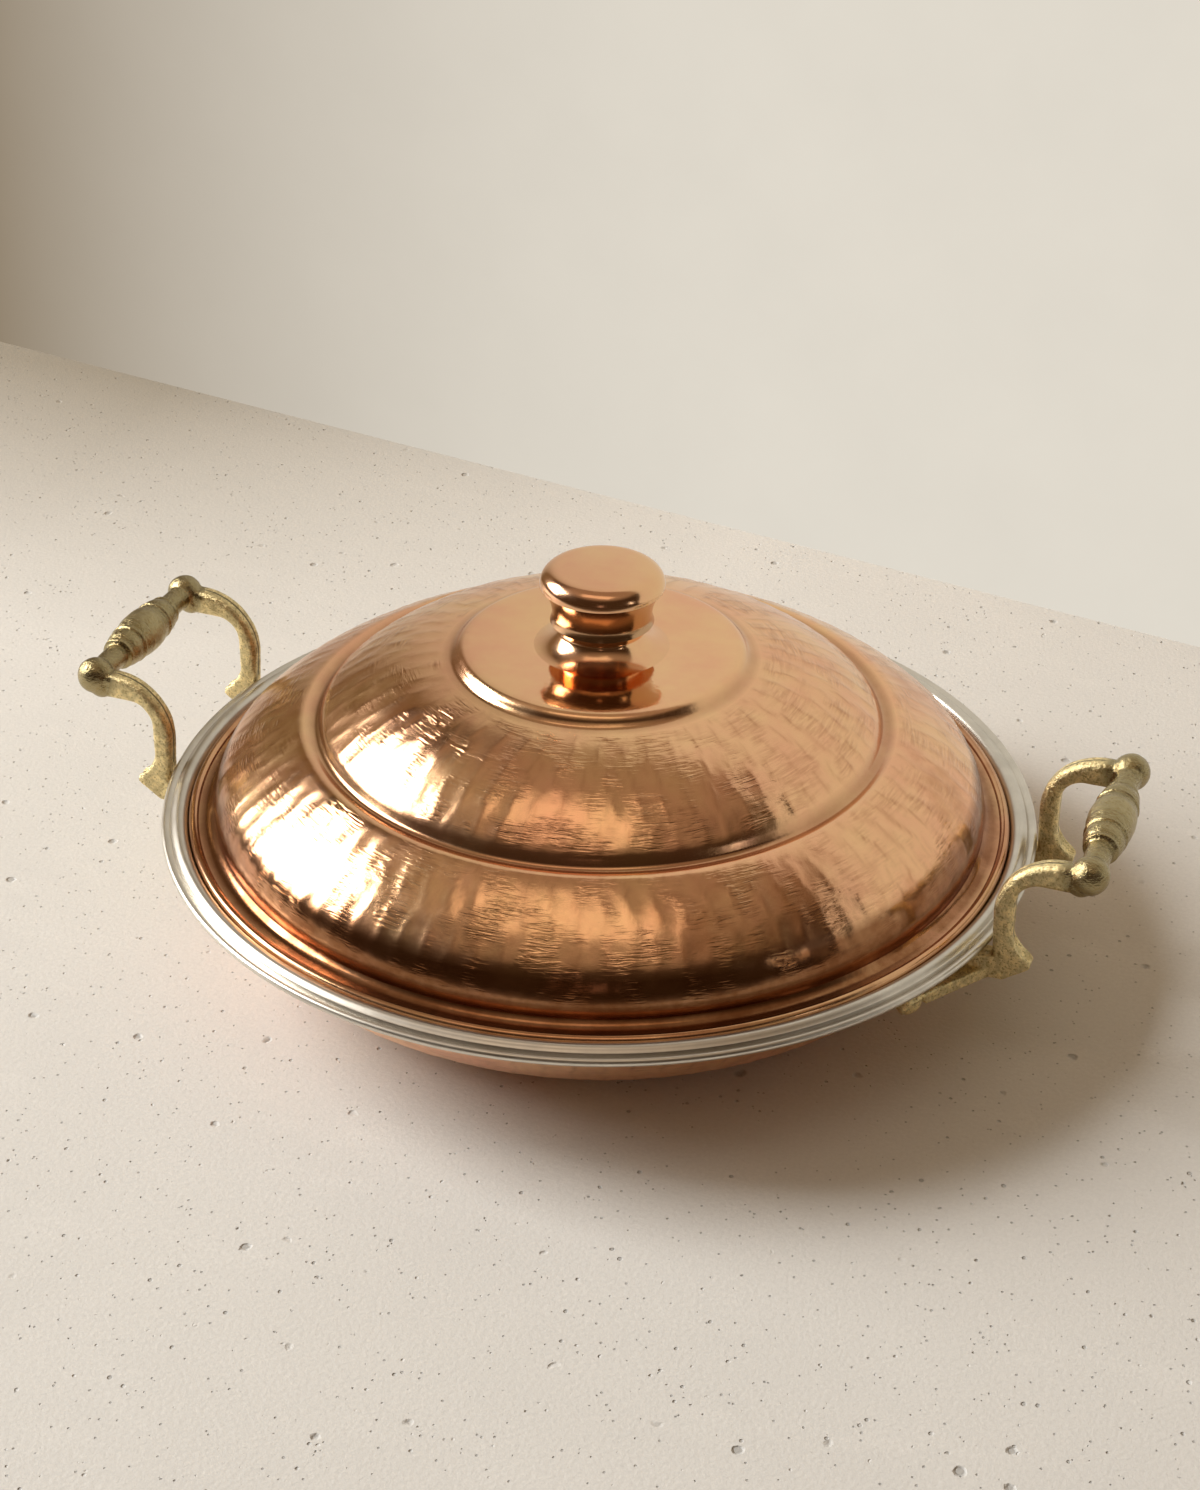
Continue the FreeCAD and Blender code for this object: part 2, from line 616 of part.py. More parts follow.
def long_edges(shape):
    """The edges of a leg's two side faces, as far down as the foot's outer corner."""
    lowest = (hem_at[1] - s.foot_drop + s.plate_gap).value
    names = []
    for number, edge in enumerate(shape.Edges, start=1):
        ends = {round(vertex.Point.y, 6) for vertex in edge.Vertexes}
        if len(ends) == 1 and edge.CenterOfMass.z > lowest:
            names.append(f"Edge{number}")
    return names


def revolve_grip(body):
    sketch = grip_outline(body)
    index = sketch.addGeometry(Part.LineSegment(
        FreeCAD.Vector(grip_reach.value, -1, 0), FreeCAD.Vector(grip_reach.value, 1, 0)), True)
    sketch.addConstraint(Sketcher.Constraint("Vertical", index))
    bind(sketch, Sketcher.Constraint("DistanceX", -1, 1, index, 1, grip_reach.value),
         grip_reach)
    revolve(body, sketch, f"{body.Name}_grip", axis="Axis0")


def add_lug(body, name, azimuth):
    """The round lug that carries a rivet at a tail's end."""
    lug = body.newObject("PartDesign::AdditiveCylinder", name)
    lug.setExpression("Radius", s.lug_radius.formula)
    lug.setExpression("Height", (s.lug_height + s.plate_gap * 2).formula)
    sunk = FreeCAD.Placement(FreeCAD.Vector(0, 0, -s.plate_gap.value), FreeCAD.Rotation())
    lug.Placement = rivet_placement(azimuth).multiply(sunk)


def face_lug(body, name, azimuth):
    """Cut the tail back round the rivet's head, level with the lug's top."""
    cut = body.newObject("PartDesign::SubtractiveCylinder", name)
    cut.setExpression("Radius", (s.rivet_head + s.head_room).formula)
    cut.setExpression("Height", s.head_cut.formula)
    raised = FreeCAD.Placement(FreeCAD.Vector(0, 0, (s.lug_height + s.plate_gap).value),
                               FreeCAD.Rotation())
    cut.Placement = rivet_placement(azimuth).multiply(raised)


def below(place, slope):
    """A place on the lid's underside: one sheet in from the top, square to the slope."""
    return place[0] - s.lid_sheet * sine(slope), place[1] - s.lid_sheet * cosine(slope)


def make_lid_shell():
    """The lid: rolled edge, cove, outer dome, valley, inner dome, step and flat disc."""
    hole = s.screw_radius + s.screw_gap
    sheet_in = s.lid_sheet
    flange_top = bead_at[1] + flange_half
    flange_under = bead_at[1] - flange_half
    cove_at = (border_at[0] + s.cove_width, flange_top)
    level = as_size(0)
    border_in = below(border_at, s.border_slope_angle)
    shoulder_in = below(shoulder_at, s.shoulder_slope_angle)
    crown_in = below(crown_at, s.crown_slope_angle)
    lip_in = below(lip_at, -s.lip_slope_angle)
    kerb_in = below(kerb_at, s.kerb_slope_angle)
    brow_in = below(brow_at, s.brow_slope_angle)
    step_in = below(step_at, s.step_slope_angle)
    riser_in = below(riser_at, s.riser_slope_angle)
    disc_in = below(disc_at, level)
    start = (hole, disc_height)
    body = turned_body("lid_shell", start, [
        (disc_at,),
        (riser_at, s.step_curve, "right"),
        (step_at, s.step_foot_curve, "left"),
        (brow_at, s.inner_dome_curve, "right"),
        (kerb_at, s.brow_curve, "right"),
        (lip_at, s.valley_curve, "left"),
        (crown_at, s.crown_curve, "right"),
        (shoulder_at, s.upper_dome_curve, "right"),
        (border_at, s.lower_dome_curve, "right"),
        (cove_at, s.cove_curve, "left"),
        ((seam_radius, flange_top),),
        ((bead_at[0], bead_at[1] + s.bead_radius), s.bead_radius, "right"),
        ((bead_at[0] + s.bead_radius, bead_at[1]), s.bead_radius, "right"),
        ((bead_at[0], bead_at[1] - s.bead_radius), s.bead_radius, "right"),
        ((seam_radius, flange_under), s.bead_radius, "right"),
        ((cove_at[0] - sheet_in * 0.2, flange_under),),
        (border_in, s.cove_curve + sheet_in, "right"),
        (shoulder_in, s.lower_dome_curve - sheet_in, "left"),
        (crown_in, s.upper_dome_curve - sheet_in, "left"),
        (lip_in, s.crown_curve - sheet_in, "left"),
        (kerb_in, s.valley_curve + sheet_in, "right"),
        (brow_in, s.brow_curve - sheet_in, "left"),
        (step_in, s.inner_dome_curve - sheet_in, "left"),
        (riser_in, s.step_foot_curve + sheet_in, "right"),
        (disc_in, s.step_curve - sheet_in, "left"),
        ((hole, disc_in[1]),),
        (start,),
    ])
    groove_circle(body, bead_at, s.lid_wire + s.wire_gap, "lid_edge_hollow")
    return body


def make_knob_foot():
    """The flared foot: a thin edge on the disc, a hollow flare and the closed neck."""
    top = disc_height + s.skirt_height
    bore = s.core_radius + s.knob_gap
    inner = s.neck_radius - s.knob_sheet
    start = (bore, top - s.knob_sheet)
    return turned_body("knob_foot", start, [
        ((inner, top - s.knob_sheet),),
        ((inner, disc_height + s.flare_rise),),
        ((inner + s.knob_sheet, disc_height),),
        ((s.foot_radius, disc_height),),
        ((s.foot_radius, disc_height + s.foot_edge),),
        ((s.neck_radius, disc_height + s.foot_edge + s.flare_rise), s.flare_curve, "right"),
        ((s.neck_radius, top),),
        ((bore, top),),
        (start,),
    ])


def make_knob_body():
    """The waisted lower half of the knob: a cup whose flat bottom sits on the neck."""
    under = disc_height + s.skirt_height
    top = under + s.body_height
    wall = s.knob_sheet
    bore = s.core_radius + s.knob_gap
    waist = under + s.waist_rise
    collar = s.cap_radius - s.cap_overhang
    start = (bore, under)
    return turned_body("knob_body", start, [
        ((s.skirt_radius, under),),
        ((s.waist_radius, waist), s.waist_curve, "right"),
        ((collar, top), s.waist_curve, "right"),
        ((collar - wall, top),),
        ((s.waist_radius - wall, waist), s.waist_curve + wall, "left"),
        ((s.waist_radius - wall, under + wall),),
        ((bore, under + wall),),
        (start,),
    ])


def make_knob_cap():
    """The cap: a straight side over the seam, a rounded edge and a slightly crowned top."""
    seam = disc_height + s.skirt_height + s.body_height
    wall = s.knob_sheet
    side_top = seam + s.cap_side
    flat = (s.cap_radius - s.cap_round, side_top + s.cap_round_rise)
    crown_curve = dome_radius(flat[0], s.cap_crown)
    start = (as_size(0), flat[1] + s.cap_crown)
    return turned_body("knob_cap", start, [
        ((as_size(0), flat[1] + s.cap_crown - wall),),
        ((flat[0], flat[1] - wall), crown_curve, "right"),
        ((s.cap_radius - wall, side_top), s.cap_round_curve - wall / 2, "right"),
        ((s.cap_radius - wall, seam),),
        ((s.cap_radius, seam),),
        ((s.cap_radius, side_top),),
        (flat, s.cap_round_curve, "left"),
        (start, crown_curve, "left"),
    ])


def make_knob_core():
    """The turned core: a tapped post on the disc with a flange on the knob body's rim."""
    seat = disc_height + s.skirt_height + s.body_height
    flange = s.cap_radius - s.knob_sheet - s.knob_gap
    bore = s.screw_radius + s.thread_gap
    depth = disc_height + s.screw_reach
    start = (bore, disc_height)
    return turned_body("knob_core", start, [
        ((s.core_radius, disc_height),),
        ((s.core_radius, seat),),
        ((flange, seat),),
        ((flange, seat + s.core_flange_height),),
        ((as_size(0), seat + s.core_flange_height),),
        ((as_size(0), depth),),
        ((bore, depth),),
        (start,),
    ])


def make_knob_washer():
    top = disc_height - s.lid_sheet
    hole = s.screw_radius + s.screw_gap
    start = (hole, top)
    return turned_body("knob_washer", start, [
        ((hole, top - s.washer_height),),
        ((s.washer_radius, top - s.washer_height),),
        ((s.washer_radius, top),),
        (start,),
    ])


def make_knob_screw():
    """The slotted screw: a domed head against the washer and a shank into the core."""
    seat = disc_height - s.lid_sheet - s.washer_height
    tip = disc_height + s.screw_reach - s.screw_gap
    foot = seat - s.screw_head_height
    start = (as_size(0), foot)
    body = turned_body("knob_screw", start, [
        ((s.screw_head, seat), dome_radius(s.screw_head, s.screw_head_height), "left"),
        ((s.screw_radius, seat),),
        ((s.screw_radius, tip),),
        ((as_size(0), tip),),
        (start,),
    ])
    slot = body.newObject("PartDesign::SubtractiveBox", "knob_screw_slot")
    slot.setExpression("Length", (s.screw_head * 3).formula)
    slot.setExpression("Width", s.slot_width.formula)
    slot.setExpression("Height", (s.slot_depth * 2).formula)
    slot.setExpression("Placement.Base.x", (-s.screw_head * 1.5).formula)
    slot.setExpression("Placement.Base.y", (-s.slot_width / 2).formula)
    slot.setExpression("Placement.Base.z", (foot - s.slot_depth).formula)
    return body


def make_all():
    pieces = [
        make_pan_body(),
        new_ring("rim_wire", roll_at, s.roll_radius - s.pan_sheet - s.wire_gap),
        make_handle("right_handle", 0),
        make_handle("left_handle", 180),
    ]
    pieces += [make_rivet(label, azimuth) for label, azimuth in RIVETS]
    pieces += [
        make_lid_shell(),
        new_ring("lid_edge_wire", bead_at, s.lid_wire),
        make_knob_foot(),
        make_knob_body(),
        make_knob_cap(),
        make_knob_core(),
        make_knob_washer(),
        make_knob_screw(),
    ]
    doc.recompute()
    return pieces


def check(pieces):
    """Stop with a plain message if anything in the document failed to build."""
    for thing in doc.Objects:
        if "Invalid" in thing.State or "Error" in thing.State:
            raise RuntimeError(f"{thing.Name} failed: {thing.State}")
    for piece in pieces:
        shape = piece.Shape
        if shape.isNull() or not shape.isValid() or shape.Volume <= 0:
            raise RuntimeError(f"{piece.Label} has no valid solid")
        if len(shape.Solids) != 1:
            raise RuntimeError(f"{piece.Label} has {len(shape.Solids)} solids")
        box = shape.BoundBox
        print(f"{piece.Label:22s} {shape.Volume:10.1f} mm3  z {box.ZMin:7.2f} to {box.ZMax:7.2f}")


pieces = make_all()
check(pieces)
os.makedirs("parts", exist_ok=True)
for piece in pieces:
    piece.Shape.exportStep(f"parts/{piece.Label}.step")
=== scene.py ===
"""Looks for a two-handled copper pan: hammered skins, cast handles, finishes and a stage."""
import math

import bmesh
import bpy
import numpy as np
from mathutils import Matrix, Vector, kdtree, noise


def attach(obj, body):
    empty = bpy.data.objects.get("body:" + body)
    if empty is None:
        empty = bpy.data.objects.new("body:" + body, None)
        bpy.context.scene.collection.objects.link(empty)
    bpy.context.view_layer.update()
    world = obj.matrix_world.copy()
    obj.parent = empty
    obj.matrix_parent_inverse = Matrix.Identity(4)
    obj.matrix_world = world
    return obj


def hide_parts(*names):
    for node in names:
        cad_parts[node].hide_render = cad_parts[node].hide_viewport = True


bl_info = {
    "name": "Copper Pan",
    "version": (1, 0, 0),
    "blender": (4, 5, 0),
    "location": "View3D > Sidebar > Copper Pan",
    "description": "Hammered copper, tin and cast brass on a packed pan with a lid",
    "category": "Object",
}

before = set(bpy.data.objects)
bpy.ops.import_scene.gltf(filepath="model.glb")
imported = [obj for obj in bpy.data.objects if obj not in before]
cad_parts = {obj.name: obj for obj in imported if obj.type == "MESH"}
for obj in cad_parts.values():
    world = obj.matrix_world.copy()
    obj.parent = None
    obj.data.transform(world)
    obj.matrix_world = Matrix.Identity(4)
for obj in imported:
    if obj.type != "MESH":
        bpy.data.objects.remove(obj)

MM = 0.001

# The pan and the lid, in millimetres, as their sheets run.
SHEET = 1.2
WALL_CURVE = 66.6
BASE_RADIUS = 71.32
ROLL_UNDERSIDE = 37.8
LID_BEAD = 129.4
HAMMERED_LID_BANDS = ((95.0, 122.5), (50.5, 86.8))
# Bands of the lid painted darker as shade in its hollows, as (low, high, strength): step foot,
# valley, cove, border.
SHADED_LID_BANDS = ((45.2, 48.6, 0.3), (88.0, 92.4, 0.5), (119.3, 127.6, 0.95), (127.6, 132.0, 0.4))
MIRROR_DISC = 41.0
LONG_MARKS_FROM = 92.0

# The knob's foot, in millimetres.
FOOT_RADIUS = 22.0
FOOT_TAPER_START = 15.5
FOOT_TAPER = 0.44

# The handles, in millimetres.
LEG_MIDDLE = 31.2
GRIP_AXIS = 163.4
GRIP_HEIGHT = 69.94
FOOT_FACE = Vector((146.3, 0.0, 39.6))


# Sizes and colours that a user would change.

class HammerSettings(bpy.types.PropertyGroup):
    """How the copper is hammered."""

    mark_width: bpy.props.FloatProperty(
        name="Mark width", description="Width of one hammer mark round the pan",
        default=7.6 * MM, unit="LENGTH")
    row_height: bpy.props.FloatProperty(
        name="Row height", description="Length of a hammer mark up the dome",
        default=10.0 * MM, unit="LENGTH")
    mark_depth: bpy.props.FloatProperty(
        name="Mark depth", description="Depth of a hammer mark", default=0.27 * MM,
        unit="LENGTH", precision=5)
    waviness: bpy.props.FloatProperty(
        name="Waviness", description="Slow unevenness of the hammered sheet",
        default=0.11 * MM, unit="LENGTH", precision=5)
    seed: bpy.props.IntProperty(
        name="Seed", description="Which set of hammer marks is made", default=7)


class FinishSettings(bpy.types.PropertyGroup):
    """Colours of the metals."""

    copper: bpy.props.FloatVectorProperty(
        name="Copper", description="Colour of polished copper", subtype="COLOR",
        default=(0.90, 0.53, 0.30))
    tin: bpy.props.FloatVectorProperty(
        name="Tin", description="Colour of the wiped tin lining", subtype="COLOR",
        default=(0.71, 0.665, 0.585))
    brass: bpy.props.FloatVectorProperty(
        name="Brass", description="Colour of the cast brass", subtype="COLOR",
        default=(0.95, 0.785, 0.42))
    steel: bpy.props.FloatVectorProperty(
        name="Steel", description="Colour of the steel screw and washer", subtype="COLOR",
        default=(0.56, 0.55, 0.53))


class StageSettings(bpy.types.PropertyGroup):
    """The floor, the wall and the light."""

    floor: bpy.props.FloatVectorProperty(
        name="Floor", description="Colour of the stone floor", subtype="COLOR",
        default=(0.86, 0.862, 0.83))
    wall: bpy.props.FloatVectorProperty(
        name="Wall", description="Colour of the plaster wall", subtype="COLOR",
        default=(0.755, 0.705, 0.615))
    window_power: bpy.props.FloatProperty(
        name="Window power", description="Power of the large soft lamp on the left",
        default=215.0, unit="POWER")


# Outlines of the turned pieces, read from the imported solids.

def outline_of(node):
    """The outer outline of a turned node, as (radius, height) in mm, interior on the left."""
    bm = bmesh.new()
    bm.from_mesh(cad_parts[node].data)
    bmesh.ops.remove_doubles(bm, verts=bm.verts, dist=1e-6)
    everything = bm.verts[:] + bm.edges[:] + bm.faces[:]
    bmesh.ops.bisect_plane(bm, geom=everything, dist=1e-7, plane_co=(0, 0, 0),
                           plane_no=(0, 1, 0), clear_inner=True)
    everything = bm.verts[:] + bm.edges[:] + bm.faces[:]
    cut = bmesh.ops.bisect_plane(bm, geom=everything, dist=1e-7, plane_co=(0, 0, 0),
                                 plane_no=(1, 0, 0))["geom_cut"]
    neighbours = {}
    for edge in cut:
        if isinstance(edge, bmesh.types.BMEdge):
            first, second = edge.verts
            neighbours.setdefault(first, []).append(second)
            neighbours.setdefault(second, []).append(first)
    chains = []
    left = set(neighbours)
    while left:
        ends = [vert for vert in left if len(neighbours[vert]) == 1]
        chain = [ends[0] if ends else max(left, key=lambda vert: vert.co.y)]
        left.discard(chain[0])
        while True:
            onward = [vert for vert in neighbours[chain[-1]] if vert in left]
            if not onward:
                break
            chain.append(onward[0])
            left.discard(onward[0])
        chains.append([(vert.co.y / MM, vert.co.z / MM) for vert in chain])
    bm.free()
    points = np.array(max(chains, key=lambda chain: max(radius for radius, _ in chain)))
    ahead = np.roll(points, -1, axis=0)
    area = np.sum(points[:, 0] * ahead[:, 1] - ahead[:, 0] * points[:, 1]) / 2
    return points if area > 0 else points[::-1]


def tangents(points, closed, corner=0.42):
    """A direction in and out of every point: the same one, except at corners."""
    ahead = np.roll(points, -1, axis=0) - points
    length = np.linalg.norm(ahead, axis=1)
    along = ahead / length[:, None]
    before = np.roll(along, 1, axis=0)
    before_length = np.roll(length, 1)
    turn = np.arccos(np.clip(np.sum(along * before, axis=1), -1, 1))
    sharp = turn > corner
    if not closed:
        sharp[0] = sharp[-1] = True
    mean = along * before_length[:, None] + before * length[:, None]
    mean /= np.linalg.norm(mean, axis=1)[:, None]

    def mirrored(direction, chord):
        return 2 * np.dot(direction, chord) * chord - direction

    going_out = mean.copy()
    coming_in = mean.copy()
    count = len(points)
    for index in np.flatnonzero(sharp):
        onward = (index + 1) % count
        back = (index - 1) % count
        going_out[index] = along[index] if sharp[onward] else mirrored(mean[onward], along[index])
        coming_in[index] = before[index] if sharp[back] else mirrored(mean[back], before[index])
    return going_out, coming_in, sharp, length


def finer_outline(points, pace, closed, turn_step=0.33):
    """The outline with points a pace apart, closer where it turns fast.

    The pace, in mm, is asked for each stretch by its middle and its outward direction.
    """
    going_out, coming_in, sharp, length = tangents(points, closed)
    count = len(points)
    dense = []
    costs = []
    breaks = []
    for index in range(count if closed else count - 1):
        onward = (index + 1) % count
        if sharp[index]:
            breaks.append(len(dense))
        pieces = max(2, int(length[index] / 0.15))
        share = np.arange(pieces)[:, None] / pieces
        out = going_out[index] * length[index]
        into = coming_in[onward] * length[index]
        square, cube = share**2, share**3
        dense.extend((2 * cube - 3 * square + 1) * points[index]
                     + (cube - 2 * square + share) * out
                     + (3 * square - 2 * cube) * points[onward] + (cube - square) * into)
        chord = points[onward] - points[index]
        outward = np.array((chord[1], -chord[0])) / length[index]
        spacing = pace((points[onward] + points[index]) / 2, outward)
        bend = math.acos(max(-1.0, min(1.0, float(np.dot(going_out[index], coming_in[onward])))))
        costs.extend([max(length[index] / spacing, bend / turn_step) / pieces] * pieces)
    if not closed:
        dense.append(points[-1])
        breaks.append(len(dense) - 1)
    else:
        if not breaks:
            breaks = [0]
        dense = dense + dense[:breaks[0] + 1]
        costs = costs + costs[:breaks[0] + 1]
        breaks.append(len(dense) - 1)
    dense = np.array(dense)
    result = []
    for first, last in zip(breaks[:-1], breaks[1:]):
        spent = np.concatenate(([0.0], np.cumsum(costs[first:last])))
        steps = max(1, round(spent[-1]))
        wanted = np.linspace(0, spent[-1], steps + 1)[:-1]
        result.extend(np.column_stack([np.interp(wanted, spent, dense[first:last + 1, axis])
                                       for axis in (0, 1)]))
    if not closed:
        result.append(dense[-1])
    return np.array(result)


def outline_normals(points):
    ahead = np.roll(points, -1, axis=0) - np.roll(points, 1, axis=0)
    normals = np.column_stack([ahead[:, 1], -ahead[:, 0]])
    return normals / np.maximum(np.linalg.norm(normals, axis=1), 1e-9)[:, None]


def spin_outline(points, closed, steps, sectors=12):
    """A bmesh of the outline turned a full round about Z, spun as equal sectors."""
    bm = bmesh.new()
    verts = [bm.verts.new((radius * MM, 0, height * MM)) for radius, height in points]
    edges = [bm.edges.new(pair) for pair in zip(verts[:-1], verts[1:])]
    if closed:
        edges.append(bm.edges.new((verts[-1], verts[0])))
    bmesh.ops.spin(bm, geom=verts + edges, cent=(0, 0, 0), axis=(0, 0, 1), dvec=(0, 0, 0),
                   angle=math.tau / sectors, steps=steps // sectors, use_merge=False,
                   use_duplicate=False)
    sector = bm.verts[:] + bm.edges[:] + bm.faces[:]
    for number in range(1, sectors):
        copy = bmesh.ops.duplicate(bm, geom=sector)["geom"]
        bmesh.ops.rotate(bm, cent=(0, 0, 0), matrix=Matrix.Rotation(
            number * math.tau / sectors, 3, "Z"),
            verts=[part for part in copy if isinstance(part, bmesh.types.BMVert)])
    bmesh.ops.remove_doubles(bm, verts=bm.verts, dist=1e-6)
    bmesh.ops.recalc_face_normals(bm, faces=bm.faces)
    return bm


# Hammer marks.

def chance(*keys):
    """A repeatable number from 0 to 1 for whole-number keys."""
    mixed = np.full(np.shape(keys[0]), 2166136261, dtype=np.uint64)
    for key in keys:
        mixed = (mixed ^ (np.asarray(key).astype(np.int64).astype(np.uint64)
                          & np.uint64(0xffffffff))) * np.uint64(16777619)
        mixed &= np.uint64(0xffffffff)
        mixed ^= mixed >> np.uint64(15)
        mixed = (mixed * np.uint64(2246822519)) & np.uint64(0xffffffff)
        mixed ^= mixed >> np.uint64(13)
    return (mixed & np.uint64(0xffff)).astype(float) / 65535


def hammer_marks(azimuth, run, radius, wobble, hammer):
    """Depth of the marks, and the lines between them, both 0 to 1.

    The marks are rows of long scallops with a fainter staggered set over them.
    """
    row_height = hammer.row_height / MM * np.where(radius > LONG_MARKS_FROM, 1.6, 1.0)
    width = hammer.mark_width / MM
    depth = np.zeros(len(run))
    line = np.zeros(len(run))
    for family, weight in enumerate((0.8, 0.3)):
        place = run / row_height + family * 0.5 + wobble * 0.05
        row = np.floor(place).astype(int)
        phase = place - row
        counts = {}
        for number in np.unique(row):
            mean_radius = radius[row == number].mean()
            counts[number] = max(6, round(math.tau * mean_radius / width))
        around = np.array([counts[number] for number in row])
        lean = (chance(row, row * 0 + family, row * 0 + hammer.seed) - 0.3) * 0.6
        spot = azimuth / math.tau * around + lean * (phase - 0.5) + wobble * 0.22
        spot += chance(row, row * 0 + hammer.seed)
        cell = np.floor(spot)
        across = spot - cell
        scallop = 1 - (2 * across - 1)**2
        strength = 0.35 + 0.65 * chance(row, np.mod(cell, around).astype(int),
                                        row * 0 + hammer.seed + family)
        length = 1 - (2 * phase - 1)**4
        depth += weight * length * scallop * strength
        line += weight * length * (1 - scallop)**3 * strength
    return depth, line


def band_share(value, low, high, edge=1.6):
    """1 inside a band and 0 outside, with soft edges."""
    rise = np.clip((value - low) / edge + 0.5, 0, 1)
    fall = np.clip((high - value) / edge + 0.5, 0, 1)
    both = np.minimum(rise, fall)
    return both * both * (3 - 2 * both)


def spun_copy(name, node, pace, steps):
    """A turned node spun again finely: the piece and the points of its outline."""
    rough = outline_of(node)
    closed = rough[:, 0].min() > 0.01
    points = finer_outline(rough, pace, closed)
    bm = spin_outline(points, closed, steps)
    mesh = bpy.data.meshes.new(name)
    bm.to_mesh(mesh)
    bm.free()
    piece = bpy.data.objects.new(name, mesh)
    bpy.context.scene.collection.objects.link(piece)
    return piece, points


def hammered_piece(name, node, pace, steps, marks_on, is_copper, shade_on, hammer, finishes):
    """A turned node spun again finely enough to carry hammer marks, copper outside.

    Its attributes are mark, where it is hammered, line, between marks, and one for the painted
    shade in the hollows.
    """
    piece, points = spun_copy(name, node, pace, steps)
    mesh = piece.data
    normals = outline_normals(points)
    run = np.concatenate(([0.0], np.cumsum(np.linalg.norm(np.diff(points, axis=0), axis=1))))
    tree = kdtree.KDTree(len(points))
    for index, (radius, height) in enumerate(points):
        tree.insert((radius, height, 0), index)
    tree.balance()
    place = np.empty(len(mesh.vertices) * 3, np.float32)
    mesh.vertices.foreach_get("co", place)
    place = place.reshape(-1, 3).astype(float) / MM
    radius = np.hypot(place[:, 0], place[:, 1])
    nearest = np.array([tree.find((r, z, 0))[1] for r, z in zip(radius, place[:, 2])])
    azimuth = np.arctan2(place[:, 1], place[:, 0])
    height = place[:, 2].copy()
    normal = normals[nearest]
    share = marks_on(radius, height, normal)
    slow = np.array([noise.noise(Vector(spot) / 17) + 0.5 * noise.noise(Vector(spot) / 8)
                     for spot in place])
    wobble = np.array([noise.noise(Vector(spot) / 5 + Vector((9, 9, 9))) for spot in place])
    depth, line = hammer_marks(azimuth, run[nearest], radius, wobble, hammer)
    move = -share * (depth * hammer.mark_depth + slow * hammer.waviness) / MM
    place[:, 0] += move * normal[:, 0] * np.cos(azimuth)
    place[:, 1] += move * normal[:, 0] * np.sin(azimuth)
    place[:, 2] += move * normal[:, 1]
    mesh.vertices.foreach_set("co", (place * MM).astype(np.float32).ravel())
    # Painted shade: how much darker each point is painted in the hollows.
    hollow_shade = shade_on(radius, height, normal)
    for label, values in (("mark", share), ("line", line * share), ("hollow_shade", hollow_shade)):
        layer = mesh.attributes.new(label, "FLOAT", "POINT")
        layer.data.foreach_set("value", values.astype(np.float32))
    for finish in finishes:
        mesh.materials.append(finish)
    first = np.array([polygon.vertices[0] for polygon in mesh.polygons])
    third = np.array([polygon.vertices[2] for polygon in mesh.polygons])
    tinned = ~is_copper((radius[first] + radius[third]) / 2, (height[first] + height[third]) / 2,
                        (normal[first] + normal[third]) / 2)
    mesh.polygons.foreach_set("material_index", tinned.astype(np.int32))
    finish_shading(mesh)
    return piece


def finish_shading(mesh, angle=0.65):
    mesh.polygons.foreach_set("use_smooth", [True] * len(mesh.polygons))
    mesh.set_sharp_from_angle(angle=angle)
    mesh.update()


# Node helpers for the finishes.

